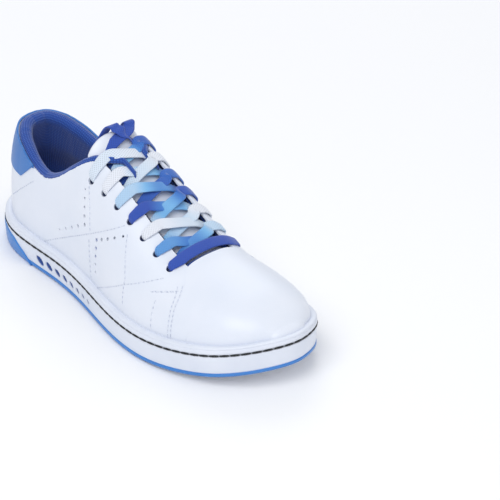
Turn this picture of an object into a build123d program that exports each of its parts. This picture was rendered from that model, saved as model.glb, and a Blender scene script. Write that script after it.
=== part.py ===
"""Right bowling shoe: cup sole, slide pad, blue heel tread, leather upper, padded collar, tongue and lace.

Millimetres, +X to the toe, +Y to the medial side (the left of the wearer's right foot), +Z up. The origin is
on the floor under the middle of the sole. A share is a place along the shoe: 0 at the heel, 1 at the toe.
"""

from math import cos, pi, sin, sqrt, tan
import os

from build123d import *

os.makedirs("parts", exist_ok=True)

# Overall sizes
shoe_length = 275.0
ball_width = 97.0  # widest part of the sole
instep_height = 113.0  # top of the last, where the ankle opening is cut away
heel_height = 84.5  # floor to the top of the heel
collar_low = 70.0  # floor to the lowest point of the collar
facing_top = 96.0  # floor to the top corner of the eyelet facing

# Sole
sole_height = 21.5  # floor to the lip of the cup
base_lift = 0.8  # the cup's base stands this far above the tread and the pad
cup_wall = 3.5
cup_floor = 5.0  # floor to the seat of the foam core
upper_floor = 13.0  # floor to the underside of the upper
spring_start = 0.66  # share where the toe starts to rise
spring_radius = 299.0
flex_share = 0.75  # share of the line where the forefoot bends
thread_height = 16.2
thread_width = 1.0
thread_stand = 0.4
edge_low, edge_high, edge_depth = 0.9, 3.2, 2.5
pad_thickness = 2.0
pad_margin = 5.0  # bare base around the slide pad and the tread
pad_tip, pad_corner, pad_toe = 0.425, 0.53, 0.975
pad_shoulder = 40.0  # half width of the pad's arrow
arrow_shift = 3.0  # the arrow and the fishtail point this far to the medial side of the middle
stripe_shares = (0.605, 0.64, 0.675, 0.71)
stripe_width, stripe_end, stripe_depth = 4.5, 3.4, 0.8  # a bar is narrower at its ends
stripe_bow = 7.0  # a bar's ends lie this far behind its middle
stripe_margin = 6.0  # edge of the pad to a bar's end
tread_thickness = 4.0
tread_wing, tread_notch = 0.485, 0.395
tread_wing_half = 31.0
tread_border = 3.5
tread_pitch_along, tread_pitch_across = 8.1, 11.7
tread_columns, tread_rows = 40, 9
tread_pocket = 4.48  # side of a diamond pocket
tread_groove = 2.2
tread_heel, tread_arrow_margin = 0.03, 0.015  # shares left plain at the heel and before the fishtail
heel_rim_back = 0.03  # the rim under the wedge ends this share behind the wedge's foot
wedge_wall = 2.5
wedge_top, wedge_front, wedge_foot = 14.5, 0.09, 0.19
window_count = 8
window_first, window_pitch, window_shrink = 0.235, 0.037, 0.9
window_length, window_height, window_level = 7.0, 4.2, 8.2
shank_length, shank_width, shank_thickness, shank_share = 90.0, 16.0, 1.5, 0.38

# Upper, in layers from the outside in
leather = 1.8
stiffener = 1.2
lining = 1.2
collar_padding = 4.7
board = 1.5
insole_thickness = 5.0
collar_seam = 50.0  # floor to the seam under the collar padding
collar_front = 0.33  # share of the front edge of the collar padding
counter_front, counter_top = 0.22, 48.0
puff_rear = 0.86
heel_tab_front, heel_tab_corner, heel_tab_level = 0.207, 0.15, 58.0

# Lacing
eyelet_rows = 7
eyelet_bore = 5.0
eyelet_first, eyelet_last = 0.687, 0.4025
eyelet_edge = 9.0  # eyelet centre to the inner edge of the facing
throat_share = 0.716
throat_top, throat_base = 15.5, 18.0  # half widths of the gap over the tongue
throat_shift, throat_drift = 1.2, 3.8  # its middle drifts to the medial side going forwards
backing_width = 14.4  # width of the reinforcement under the eyelets
lace_size = 2.4
aglet_size, aglet_length = 3.0, 12.0
lace_clearance = 0.5  # under the eyelet reinforcement
lace_bend = 14.0  # largest bend radius along the lace
tuck_spread, tuck_gap = 12.0, 7.5  # where the lace ends hang behind the tongue
tuck_drop, tuck_length = 14.0, 16.0

# Tongue
tongue_clearance = 8.2  # outside of the upper to the tongue's face
tongue_face_thickness, tongue_foam_thickness, tongue_lining_thickness = 1.2, 3.0, 0.8
tongue_top_share, tongue_root_share = 0.36, 0.735
tongue_top_width, tongue_mid_width = 21.0, 26.0  # half widths

# Shape of the last: share of the length, then lateral and medial half widths as shares of the ball width
OUTLINE = [
    (0.012, 0.113, 0.113),
    (0.04, 0.206, 0.206),
    (0.10, 0.299, 0.299),
    (0.18, 0.335, 0.330),
    (0.30, 0.345, 0.312),
    (0.42, 0.392, 0.304),
    (0.54, 0.469, 0.344),
    (0.64, 0.510, 0.418),
    (0.73, 0.500, 0.480),
    (0.82, 0.443, 0.492),
    (0.90, 0.345, 0.445),
    (0.955, 0.205, 0.340),
    (0.985, 0.075, 0.215),
]
# share, crown height as a share of the instep height, sideways shift of the crown, roundness of the lateral
# and medial sides, and how far the medial side leans out over the waist of the sole
CROWN = [
    (0.012, 0.46, 0.0, 2.6, 2.6, 0.0),
    (0.04, 0.743, 0.0, 2.8, 2.8, 0.0),
    (0.10, 0.903, 0.0, 3.0, 3.0, 0.0),
    (0.18, 0.982, 0.5, 3.0, 3.1, 0.8),
    (0.30, 1.0, 1.8, 2.9, 3.5, 3.0),
    (0.42, 0.876, 2.5, 2.6, 3.6, 4.2),
    (0.54, 0.730, 4.5, 2.3, 3.1, 3.5),
    (0.64, 0.597, 6.5, 2.2, 2.5, 1.5),
    (0.73, 0.515, 7.0, 2.2, 2.2, 0.2),
    (0.82, 0.478, 6.5, 2.3, 2.3, 0.0),
    (0.90, 0.447, 6.0, 2.4, 2.4, 0.0),
    (0.955, 0.398, 6.5, 2.5, 2.5, 0.0),
    (0.985, 0.345, 7.5, 2.5, 2.5, 0.0),
]
# Places around a cross section, from the medial feather line over the crown to the lateral one, in degrees
RING = (0, 6, 16, 30, 46, 62, 76, 90, 104, 118, 134, 150, 164, 174, 180)
cut_reach = 90.0  # half width of the cutting shapes, well past the sides of the shoe
widest_lateral = max(row[1] for row in OUTLINE) * ball_width
widest_medial = max(row[2] for row in OUTLINE) * ball_width
middle = (widest_lateral - widest_medial) / 2


def along(share):
    return (share - 0.5) * shoe_length


def spring(x):
    """Rise of the sole above the floor at x."""
    run = max(0.0, x - along(spring_start))
    return spring_radius - sqrt(spring_radius**2 - run**2)


def read(table, column, share):
    """Smooth value of one column of a shape table."""
    rows = [(row[0], row[column]) for row in table]
    share = min(max(share, rows[0][0]), rows[-1][0])
    i = max(j for j in range(len(rows) - 1) if rows[j][0] <= share)
    slopes = []
    for j in (i, i + 1):
        low, high = rows[max(j - 1, 0)], rows[min(j + 1, len(rows) - 1)]
        slopes.append((high[1] - low[1]) / (high[0] - low[0]))
    step = rows[i + 1][0] - rows[i][0]
    t = (share - rows[i][0]) / step
    return (
        (2 * t**3 - 3 * t**2 + 1) * rows[i][1]
        + (t**3 - 2 * t**2 + t) * step * slopes[0]
        + (3 * t**2 - 2 * t**3) * rows[i + 1][1]
        + (t**3 - t**2) * step * slopes[1]
    )


def end_share(share):
    """1 along the sides, less near the heel and toe, where the outline turns across the shoe."""
    return min(1.0, 0.25 + 0.75 * min(share, 1 - share) / 0.12)


def section(share, inset, angle):
    """Point of the last's cross section: angle 0 at the medial feather line, 90 at the crown, 180 lateral."""
    x = along(share) * (1 - 2 * (cup_wall + inset) / shoe_length)
    drop = (cup_wall + inset) * end_share(share)
    feather = sole_height - 1.5 + spring(x)
    top = max(read(CROWN, 1, share) * instep_height - inset, feather + 1.5)
    crown = middle + read(CROWN, 2, share)
    if angle < 90:
        reach = middle + read(OUTLINE, 2, share) * ball_width - drop - crown
        power = read(CROWN, 4, share)
        lean = read(CROWN, 5, share)
    else:
        reach = middle - read(OUTLINE, 1, share) * ball_width + drop - crown
        power = read(CROWN, 3, share)
        lean = 0.0
    turn = angle * pi / 180
    rise = sin(turn) ** (2 / power)
    ease = min(1.0, rise / 0.4)
    across = abs(cos(turn)) ** (2 / power)
    return x, crown + (reach + lean * ease**2 * (3 - 2 * ease)) * across, feather + (top - feather) * rise


def surface(x, y):
    """Height of the outside of the upper at x, y."""
    share = x / (shoe_length - 2 * cup_wall) + 0.5
    medial = y > section(share, 0.0, 90)[1]
    low, high = (12.0, 90.0) if medial else (168.0, 90.0)
    for _ in range(40):
        angle = (low + high) / 2
        if (section(share, 0.0, angle)[1] > y) == medial:
            low = angle
        else:
            high = angle
    return section(share, 0.0, angle)[2]


def on_upper(x, y, depth):
    """Point at a depth below the outside of the upper, along its normal."""
    step = 0.5
    slope_x = (surface(x + step, y) - surface(x - step, y)) / (2 * step)
    slope_y = (surface(x, y + step) - surface(x, y - step)) / (2 * step)
    normal = Vector(-slope_x, -slope_y, 1).normalized()
    return Vector(x, y, surface(x, y)) - normal * depth


# Shared shapes that the pieces are cut from
def plan_points(inset, count=44):
    """Points around the sole's outline, moved in by the inset."""
    lateral = [(along(row[0]), middle - row[1] * ball_width) for row in OUTLINE]
    medial = [(along(row[0]), middle + row[2] * ball_width) for row in reversed(OUTLINE)]
    toe = (along(1.0), middle + 0.075 * ball_width)
    heel = (along(0.0), middle)
    edge = Edge.make_spline([Vector(*p) for p in [heel, *lateral, toe, *medial]], periodic=True)
    points = []
    for k in range(count):
        place, run = edge.position_at(k / count), edge.tangent_at(k / count)
        points.append((place.X - run.Y * inset, place.Y + run.X * inset))
    return points


def plan_body(inset, low=-5.0, high=60.0):
    with BuildPart() as body:
        with BuildSketch(Plane.XY.offset(low)):
            with BuildLine():
                Spline(*plan_points(inset), periodic=True)
            make_face()
        extrude(amount=high - low)
    return body.part


def band_body(low, high, rear=-0.1, front=1.1):
    """Everything between two heights above the sprung floor line."""
    start, stop = along(rear), along(front)
    turn = max(along(spring_start), start + 0.01)
    with BuildPart() as body:
        with BuildSketch(Plane.XZ):
            with BuildLine():
                for level in (low, high):
                    if stop > turn:
                        half = (turn + stop) / 2
                        Line((start, level), (turn, level + spring(turn)))
                        ThreePointArc(
                            (turn, level + spring(turn)),
                            (half, level + spring(half)),
                            (stop, level + spring(stop)),
                        )
                    else:
                        Line((start, level), (stop, level))
                Line((start, low), (start, high))
                Line((stop, low + spring(stop)), (stop, high + spring(stop)))
            make_face()
        extrude(amount=cut_reach, both=True)
    return body.part


def side_body(points):
    """A shape seen from the side, carried right through the shoe."""
    with BuildPart() as body:
        with BuildSketch(Plane.XZ):
            with BuildLine():
                Polyline(*points, close=True)
            make_face()
        extrude(amount=cut_reach, both=True)
    return body.part


def top_body(points, low=-5.0, high=160.0):
    """A shape seen from above, carried right through the shoe."""
    with BuildPart() as body:
        with BuildSketch(Plane.XY.offset(low)):
            with BuildLine():
                Polyline(*points, close=True)
            make_face()
        extrude(amount=high - low)
    return body.part


def length_of(rear, front, low=-5.0, high=160.0):
    """Everything between two shares along the shoe."""
    start, stop = along(rear), along(front)
    corners = [(start, -cut_reach), (stop, -cut_reach), (stop, cut_reach), (start, cut_reach)]
    return top_body(corners, low, high)


def last_body(inset):
    """The whole volume inside one layer of the upper, before its floor is cut."""
    with BuildPart() as body:
        for row in OUTLINE:
            ring = [section(row[0], inset, angle) for angle in RING]
            bend = [(y, z) for _, y, z in ring]
            base = bend[0][1] - 12
            with BuildSketch(Plane(origin=(ring[0][0], 0, 0), x_dir=(0, 1, 0), z_dir=(1, 0, 0))):
                with BuildLine():
                    Spline(*bend, tangents=[(0, 1), (0, -1)])
                    Polyline(bend[-1], (bend[-1][0], base), (bend[0][0], base), bend[0])
                make_face()
        loft()
    return body.part


def ankle_cut():
    """Everything above the collar's top line, behind the facing."""
    line = [
        (-0.05, heel_height),
        (0.045, heel_height),
        (0.127, heel_height * 0.55 + collar_low * 0.45),
        (0.20, collar_low + 1.2),
        (0.25, collar_low),
        (0.305, collar_low + (facing_top - collar_low) * 0.42),
        (0.35, collar_low + (facing_top - collar_low) * 0.86),
        (0.393, facing_top),
        (0.42, facing_top + 2.5),
    ]
    with BuildPart() as body:
        with BuildSketch(Plane.XZ):
            with BuildLine():
                Spline(*[(along(s), z) for s, z in line])
                Polyline(
                    (along(line[-1][0]), line[-1][1]),
                    (along(line[-1][0]), 200),
                    (along(line[0][0]), 200),
                    (along(line[0][0]), line[0][1]),
                )
            make_face()
        extrude(amount=cut_reach, both=True)
    return body.part


def throat_middle(share):
    """Middle of the gap over the tongue, which drifts to the medial side."""
    t = (share - eyelet_last) / (throat_share - eyelet_last)
    return middle + throat_shift + throat_drift * t


def throat_half(share):
    t = (share - eyelet_last) / (throat_share - eyelet_last)
    return throat_top + (throat_base - throat_top) * t


def throat_strip(grow, rear=0.30, front=throat_share):
    """The gap over the tongue seen from above, widened on both sides."""
    sides = [(share, throat_half(share) + grow) for share in (rear, front)]
    right = [(along(s), throat_middle(s) - half) for s, half in sides]
    left = [(along(s), throat_middle(s) + half) for s, half in reversed(sides)]
    return top_body([*right, *left], low=40.0)


outer = last_body(0.0)
under_leather = last_body(leather)
under_stiffener = last_body(leather + stiffener)
under_lining = last_body(leather + stiffener + lining)
under_padding = last_body(leather + collar_padding)
under_collar = last_body(leather + collar_padding + lining)
above_floor = band_body(upper_floor, 170.0)
above_board = band_body(upper_floor + board, 170.0)
ankle = ankle_cut()
throat = throat_strip(0.0)
front_edge = [
    (along(0.708), 170.0),
    (along(throat_share - 0.006), 62.0),
    (along(throat_share), 52.0),
    (along(0.748), 38.0),
    (along(0.776), 27.0),
    (along(0.79), -5.0),
]
vamp_zone = side_body([*front_edge, (along(1.1), -5.0), (along(1.1), 170.0)])
rear_zone = side_body([*front_edge, (along(-0.1), -5.0), (along(-0.1), 170.0)])
tab_zone = side_body(
    [
        (along(-0.1), heel_tab_level),
        (along(heel_tab_corner), heel_tab_level),
        (along(heel_tab_front), 85.0),
        (along(heel_tab_front), 170.0),
        (along(-0.1), 170.0),
    ]
)
lateral_zone, medial_zone = [
    top_body(
        [
            (along(-0.1), middle),
            (along(0.85), middle),
            (along(0.85), side * cut_reach),
            (along(-0.1), side * cut_reach),
        ]
    )
    for side in (-1, 1)
]
collar_zone = side_body(
    [
        (along(-0.1), collar_seam),
        (along(collar_front - 0.06), collar_seam),
        (along(collar_front), collar_seam + 20),
        (along(collar_front), 170.0),
        (along(-0.1), 170.0),
    ]
)
rear_of_flex = length_of(-0.1, flex_share)
front_of_flex = length_of(flex_share, 1.1)


# Sole
def side_wedge():
    """Tread rubber carried up the outside of the cup at the heel."""
    with BuildPart() as body:
        add(plan_body(0.0))
        add(plan_body(wedge_wall), mode=Mode.SUBTRACT)
        add(
            side_body(
                [
                    (along(-0.1), 0),
                    (along(wedge_foot), 0),
                    (along(wedge_front + 0.02), wedge_top - 0.5),
                    (along(wedge_front - 0.03), wedge_top),
                    (along(-0.1), wedge_top),
                ]
            ),
            mode=Mode.INTERSECT,
        )
    return body.part


def tread_outline():
    return top_body(
        [
            (along(-0.1), -cut_reach),
            (along(tread_wing), -cut_reach),
            (along(tread_wing), middle + arrow_shift - tread_wing_half),
            (along(tread_notch), middle + arrow_shift),
            (along(tread_wing), middle + arrow_shift + tread_wing_half),
            (along(tread_wing), cut_reach),
            (along(-0.1), cut_reach),
        ]
    )


def pocket_body():
    """Diamond pockets of the tread, inside its raised border."""
    with BuildPart() as body:
        with BuildSketch(Plane.XY.offset(-1.0)):
            with GridLocations(tread_pitch_along, tread_pitch_across, tread_columns, tread_rows):
                Rectangle(tread_pocket, tread_pocket, rotation=45)
        extrude(amount=tread_groove + 1.0)
        add(plan_body(pad_margin + tread_border), mode=Mode.INTERSECT)
        add(length_of(tread_heel, tread_notch - tread_arrow_margin), mode=Mode.INTERSECT)
    return body.part


heel_rim = length_of(-0.1, wedge_foot - heel_rim_back)

with BuildPart() as heel_outsole:
    add(plan_body(pad_margin, 0.0, tread_thickness))
    add(tread_outline(), mode=Mode.INTERSECT)
    add(pocket_body(), mode=Mode.SUBTRACT)
    add(plan_body(0.0, 0.0, tread_thickness) - plan_body(pad_margin + 0.5) & heel_rim)
    add(side_wedge())
heel_outsole.part.label = "heel_outsole"
export_step(heel_outsole.part, "parts/heel_outsole.step")

pad_zone = top_body(
    [
        (along(pad_tip), middle + arrow_shift),
        (along(pad_corner), middle + arrow_shift - pad_shoulder),
        (along(pad_corner), -cut_reach),
        (along(pad_toe), -cut_reach),
        (along(pad_toe), cut_reach),
        (along(pad_corner), cut_reach),
        (along(pad_corner), middle + arrow_shift + pad_shoulder),
    ]
)


def stripe_body():
    """Four bowed bars let into the pad."""
    low_y = middle - ball_width / 2 + pad_margin + stripe_margin
    high_y = middle + ball_width / 2 - pad_margin - stripe_margin
    with BuildPart() as body:
        for share in stripe_shares:
            front = along(share)
            rear, front_end = front - stripe_width, front - stripe_bow
            rear_end = front_end - stripe_end
            with BuildSketch():
                with BuildLine():
                    ThreePointArc((front_end, low_y), (front, middle), (front_end, high_y))
                    Line((front_end, high_y), (rear_end, high_y))
                    ThreePointArc((rear_end, high_y), (rear, middle), (rear_end, low_y))
                    Line((rear_end, low_y), (front_end, low_y))
                make_face()
            extrude(amount=2 * pad_thickness + stripe_depth)
        add(band_body(0.0, stripe_depth), mode=Mode.INTERSECT)
        add(plan_body(pad_margin + 2.0), mode=Mode.INTERSECT)
    return body.part


with BuildPart() as slide_pad_stripes:
    add(stripe_body())
slide_pad_stripes.part.label = "slide_pad_stripes"
export_step(slide_pad_stripes.part, "parts/slide_pad_stripes.step")

with BuildPart() as slide_pad:
    add(plan_body(pad_margin))
    add(pad_zone, mode=Mode.INTERSECT)
    add(band_body(0.0, pad_thickness), mode=Mode.INTERSECT)

with BuildPart() as slide_pad_rear:
    add(slide_pad.part)
    add(rear_of_flex, mode=Mode.INTERSECT)
    add(slide_pad_stripes.part, mode=Mode.SUBTRACT)
slide_pad_rear.part.label = "slide_pad_rear"
export_step(slide_pad_rear.part, "parts/slide_pad_rear.step")

with BuildPart() as slide_pad_front:
    add(slide_pad.part)
    add(front_of_flex, mode=Mode.INTERSECT)
slide_pad_front.part.label = "slide_pad_front"
export_step(slide_pad_front.part, "parts/slide_pad_front.step")

with BuildPart() as edge_band:
    add(plan_body(0.0))
    add(plan_body(edge_depth), mode=Mode.SUBTRACT)
    add(band_body(edge_low, edge_high, rear=wedge_foot), mode=Mode.INTERSECT)
edge_band.part.label = "edge_band"
export_step(edge_band.part, "parts/edge_band.step")

with BuildPart() as welt_stitch:
    add(plan_body(-thread_stand))
    add(plan_body(thread_width - thread_stand), mode=Mode.SUBTRACT)
    add(band_body(thread_height - thread_width / 2, thread_height + thread_width / 2), mode=Mode.INTERSECT)
welt_stitch.part.label = "welt_stitch"
export_step(welt_stitch.part, "parts/welt_stitch.step")

with BuildPart() as shank:
    with BuildSketch(Plane.XY.offset((cup_floor + upper_floor - shank_thickness) / 2)):
        with Locations((along(shank_share), middle)):
            RectangleRounded(shank_length, shank_width, shank_width / 3)
    extrude(amount=shank_thickness)
shank.part.label = "shank"
export_step(shank.part, "parts/shank.step")

with BuildPart() as midsole_core:
    add(plan_body(cup_wall))
    add(band_body(cup_floor, upper_floor), mode=Mode.INTERSECT)
    add(shank.part, mode=Mode.SUBTRACT)
midsole_core.part.label = "midsole_core"
export_step(midsole_core.part, "parts/midsole_core.step")


def window_bodies():
    """Slanted ovals through both side walls that shrink towards the toe."""
    share = window_first
    size = 1.0
    with BuildPart() as body:
        for _ in range(window_count):
            with BuildSketch(Plane.XZ):
                with Locations((along(share), window_level)):
                    Ellipse(window_length / 2 * size, window_height / 2 * size, rotation=-25)
            extrude(amount=cut_reach, both=True)
            share += window_pitch * (0.45 + 0.55 * size)
            size *= window_shrink
    return body.part


with BuildPart() as cupsole:
    add(plan_body(0.0))
    add(band_body(base_lift, sole_height), mode=Mode.INTERSECT)
    add(outer & above_floor, mode=Mode.SUBTRACT)
    add(plan_body(cup_wall) & band_body(cup_floor, upper_floor), mode=Mode.SUBTRACT)
    add(plan_body(pad_margin, -1.0, tread_thickness) & tread_outline(), mode=Mode.SUBTRACT)
    add(plan_body(-1.0, -1.0, tread_thickness) - plan_body(pad_margin + 0.5) & heel_rim, mode=Mode.SUBTRACT)
    add(side_wedge(), mode=Mode.SUBTRACT)
    add(slide_pad.part, mode=Mode.SUBTRACT)
    add(edge_band.part, mode=Mode.SUBTRACT)
    add(welt_stitch.part, mode=Mode.SUBTRACT)
    add(window_bodies(), mode=Mode.SUBTRACT)

with BuildPart() as cupsole_rear:
    add(cupsole.part)
    add(rear_of_flex, mode=Mode.INTERSECT)
cupsole_rear.part.label = "cupsole_rear"
export_step(cupsole_rear.part, "parts/cupsole_rear.step")

with BuildPart() as cupsole_forefoot:
    add(cupsole.part)
    add(front_of_flex, mode=Mode.INTERSECT)
cupsole_forefoot.part.label = "cupsole_forefoot"
export_step(cupsole_forefoot.part, "parts/cupsole_forefoot.step")

# Footbed
with BuildPart() as strobel_board:
    add(under_leather)
    add(band_body(upper_floor, upper_floor + board), mode=Mode.INTERSECT)
strobel_board.part.label = "strobel_board"
export_step(strobel_board.part, "parts/strobel_board.step")

with BuildPart() as insole:
    add(under_lining)
    add(band_body(upper_floor + board, upper_floor + board + insole_thickness), mode=Mode.INTERSECT)
insole.part.label = "insole"
export_step(insole.part, "parts/insole.step")


# Upper
def eyelet_places(side):
    """Eyelet centres of one facing, from the toe end; side is -1 lateral, 1 medial."""
    places = []
    for row in range(eyelet_rows):
        share = eyelet_first + (eyelet_last - eyelet_first) * row / (eyelet_rows - 1)
        places.append((along(share), throat_middle(share) + side * (throat_half(share) + eyelet_edge)))
    return places


def eyelet_bores(side):
    """Holes square to the leather, one under the other along a facing."""
    with BuildPart() as body:
        for x, y in eyelet_places(side):
            top, deep = on_upper(x, y, -4.0), on_upper(x, y, 6.0)
            with BuildSketch(Plane(origin=top, z_dir=deep - top)):
                Circle(eyelet_bore / 2)
            extrude(amount=(deep - top).length)
    return body.part


lateral_bores = eyelet_bores(-1)
medial_bores = eyelet_bores(1)
leather_shell = outer - under_leather
stiff_shell = under_leather - under_stiffener
lining_shell = under_stiffener - under_lining

with BuildPart() as quarters:
    add(leather_shell)
    add(above_floor, mode=Mode.INTERSECT)
    add(rear_zone, mode=Mode.INTERSECT)
    add(ankle, mode=Mode.SUBTRACT)
    add(throat, mode=Mode.SUBTRACT)
    add(tab_zone, mode=Mode.SUBTRACT)

with BuildPart() as quarter_lateral:
    add(quarters.part)
    add(lateral_zone, mode=Mode.INTERSECT)
    add(lateral_bores, mode=Mode.SUBTRACT)
quarter_lateral.part.label = "quarter_lateral"
export_step(quarter_lateral.part, "parts/quarter_lateral.step")

with BuildPart() as quarter_medial:
    add(quarters.part)
    add(medial_zone, mode=Mode.INTERSECT)
    add(medial_bores, mode=Mode.SUBTRACT)
quarter_medial.part.label = "quarter_medial"
export_step(quarter_medial.part, "parts/quarter_medial.step")

with BuildPart() as heel_tab:
    add(leather_shell)
    add(tab_zone, mode=Mode.INTERSECT)
    add(ankle, mode=Mode.SUBTRACT)
heel_tab.part.label = "heel_tab"
export_step(heel_tab.part, "parts/heel_tab.step")

with BuildPart() as vamp:
    add(leather_shell)
    add(above_floor, mode=Mode.INTERSECT)
    add(vamp_zone, mode=Mode.INTERSECT)
vamp.part.label = "vamp"
export_step(vamp.part, "parts/vamp.step")

with BuildPart() as heel_counter:
    add(stiff_shell)
    add(above_board, mode=Mode.INTERSECT)
    add(length_of(-0.1, counter_front, high=counter_top), mode=Mode.INTERSECT)
heel_counter.part.label = "heel_counter"
export_step(heel_counter.part, "parts/heel_counter.step")

with BuildPart() as toe_puff:
    add(stiff_shell)
    add(above_board, mode=Mode.INTERSECT)
    add(length_of(puff_rear, 1.1), mode=Mode.INTERSECT)
toe_puff.part.label = "toe_puff"
export_step(toe_puff.part, "parts/toe_puff.step")

with BuildPart() as backings:
    add(stiff_shell)
    add(throat_strip(backing_width, rear=eyelet_last - 0.01), mode=Mode.INTERSECT)
    add(rear_zone, mode=Mode.INTERSECT)
    add(throat, mode=Mode.SUBTRACT)
    add(ankle, mode=Mode.SUBTRACT)

with BuildPart() as eyestay_backing_lateral:
    add(backings.part)
    add(lateral_zone, mode=Mode.INTERSECT)
    add(lateral_bores, mode=Mode.SUBTRACT)
eyestay_backing_lateral.part.label = "eyestay_backing_lateral"
export_step(eyestay_backing_lateral.part, "parts/eyestay_backing_lateral.step")

with BuildPart() as eyestay_backing_medial:
    add(backings.part)
    add(medial_zone, mode=Mode.INTERSECT)
    add(medial_bores, mode=Mode.SUBTRACT)
eyestay_backing_medial.part.label = "eyestay_backing_medial"
export_step(eyestay_backing_medial.part, "parts/eyestay_backing_medial.step")

with BuildPart() as quarter_lining:
    add(lining_shell)
    add(above_board, mode=Mode.INTERSECT)
    add(rear_zone, mode=Mode.INTERSECT)
    add(collar_zone, mode=Mode.SUBTRACT)
    add(throat_strip(backing_width + lining), mode=Mode.SUBTRACT)
    add(ankle, mode=Mode.SUBTRACT)
quarter_lining.part.label = "quarter_lining"
export_step(quarter_lining.part, "parts/quarter_lining.step")

with BuildPart() as vamp_lining:
    add(lining_shell)
    add(above_board, mode=Mode.INTERSECT)
    add(vamp_zone, mode=Mode.INTERSECT)
vamp_lining.part.label = "vamp_lining"
export_step(vamp_lining.part, "parts/vamp_lining.step")

with BuildPart() as collar_foam:
    add(under_leather)
    add(under_padding, mode=Mode.SUBTRACT)
    add(collar_zone, mode=Mode.INTERSECT)
    add(ankle, mode=Mode.SUBTRACT)
collar_foam.part.label = "collar_foam"
export_step(collar_foam.part, "parts/collar_foam.step")

with BuildPart() as collar_lining:
    add(under_padding)
    add(under_collar, mode=Mode.SUBTRACT)
    add(collar_zone, mode=Mode.INTERSECT)
    add(ankle, mode=Mode.SUBTRACT)
collar_lining.part.label = "collar_lining"
export_step(collar_lining.part, "parts/collar_lining.step")


# Tongue
def tongue_layer(near, far):
    """One arched layer of the tongue between two depths under the upper."""
    with BuildPart() as body:
        steps = 8
        for k in range(steps + 1):
            t = k / steps
            share = tongue_top_share + (tongue_root_share - tongue_top_share) * t
            x, y = along(share), throat_middle(share)
            half = tongue_top_width + (tongue_mid_width - tongue_top_width) * sin(pi * min(1.0, 1.15 * t))
            flat = []
            for depth in (near, far):
                arch = [on_upper(x, y + half * place, depth) for place in (-1, -0.7, -0.35, 0, 0.35, 0.7, 1)]
                flat.append([(p.Y, p.Z) for p in arch])
            with BuildSketch(Plane(origin=(x, 0, 0), x_dir=(0, 1, 0), z_dir=(1, 0, 0))):
                with BuildLine():
                    Spline(*flat[0])
                    Line(flat[0][-1], flat[1][-1])
                    Spline(*flat[1])
                    Line(flat[1][0], flat[0][0])
                make_face()
        loft(ruled=True)
    return body.part


tongue_foam_depth = tongue_clearance + tongue_face_thickness
tongue_lining_depth = tongue_foam_depth + tongue_foam_thickness

with BuildPart() as tongue_face:
    add(tongue_layer(tongue_clearance, tongue_foam_depth))
tongue_face.part.label = "tongue_face"
export_step(tongue_face.part, "parts/tongue_face.step")

with BuildPart() as tongue_foam:
    add(tongue_layer(tongue_foam_depth, tongue_lining_depth))
tongue_foam.part.label = "tongue_foam"
export_step(tongue_foam.part, "parts/tongue_foam.step")

with BuildPart() as tongue_lining:
    add(tongue_layer(tongue_lining_depth, tongue_lining_depth + tongue_lining_thickness))
tongue_lining.part.label = "tongue_lining"
export_step(tongue_lining.part, "parts/tongue_lining.step")


# Lace
eyelet_pitch = (along(eyelet_first) - along(eyelet_last)) / (eyelet_rows - 1)
lace_above = -lace_size / 2 - 0.8  # depth of a strand that lies on the leather
lace_below = leather + stiffener + lace_size / 2 + lace_clearance  # and of one under it


def lace_half(start_side):
    """One half of the lace, from the middle of the bottom bar up to its tucked end."""
    places = {-1: eyelet_places(-1), 1: eyelet_places(1)}
    side = start_side
    x, _ = places[side][0]
    points = [on_upper(x, throat_middle(x / shoe_length + 0.5), lace_above)]
    for row in range(eyelet_rows):
        x, y = places[side][row]
        centre = throat_middle(x / shoe_length + 0.5)
        gap = throat_half(x / shoe_length + 0.5)
        points.append(on_upper(x, centre + side * (gap - 1), lace_above))
        points.append(on_upper(x, centre + side * (gap + eyelet_edge * 0.5), lace_above))
        points.append(on_upper(x, y, lace_above))
        points.append(on_upper(x, y, lace_below))
        x_next = x - eyelet_pitch
        x_middle = (x + x_next) / 2
        points.append(on_upper(x * 0.8 + x_next * 0.2, centre + side * gap, lace_below))
        high = 0.0 if start_side < 0 else lace_size + 0.5
        points.append(on_upper(x * 0.65 + x_next * 0.35, centre + side * gap * 0.5, (lace_below + high) / 2 - 0.5))
        points.append(on_upper(x_middle, throat_middle(x_middle / shoe_length + 0.5), high))
        side = -side
    x = along(tongue_top_share)
    centre = throat_middle(tongue_top_share)
    points.append(on_upper(x + 1, centre + side * tuck_spread, lace_size / 2))
    points.append(Vector(x - tuck_gap, centre + side * tuck_spread, points[-1].Z - tuck_drop))
    points.append(points[-1] - Vector(0.5, 0, tuck_length))
    return points


def cord_radii(points):
    radii = []
    for before, here, after in zip(points, points[1:], points[2:]):
        first, second = here - before, after - here
        turn = first.get_angle(second)
        run = min(first.length, second.length)
        radii.append(min(lace_bend, 0.45 * run / tan(turn / 2 * pi / 180)))
    return radii


def cord_body(points, size):
    with BuildPart() as body:
        with BuildLine() as path:
            FilletPolyline(*points, radius=cord_radii(points))
        with BuildSketch(Plane(origin=points[0], z_dir=points[1] - points[0])):
            Circle(size / 2)
        sweep(path=path.line)
    return body.part


with BuildPart() as lace:
    add(cord_body(lace_half(-1), lace_size))
    add(cord_body(lace_half(1), lace_size))
lace.part.label = "lace"
export_step(lace.part, "parts/lace.step")

with BuildPart() as aglets:
    for start_side in (-1, 1):
        *_, before, tip = lace_half(start_side)
        with BuildSketch(Plane(origin=tip, z_dir=tip - before)):
            Circle(aglet_size / 2)
        extrude(amount=aglet_length)
aglets.part.label = "aglets"
export_step(aglets.part, "parts/aglets.step")
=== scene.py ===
"""Right bowling shoe: stitched rubber cup sole, slide pad, lattice heel tread, smooth coated leather upper."""
from math import atan2, cos, pi, radians, sin

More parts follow.
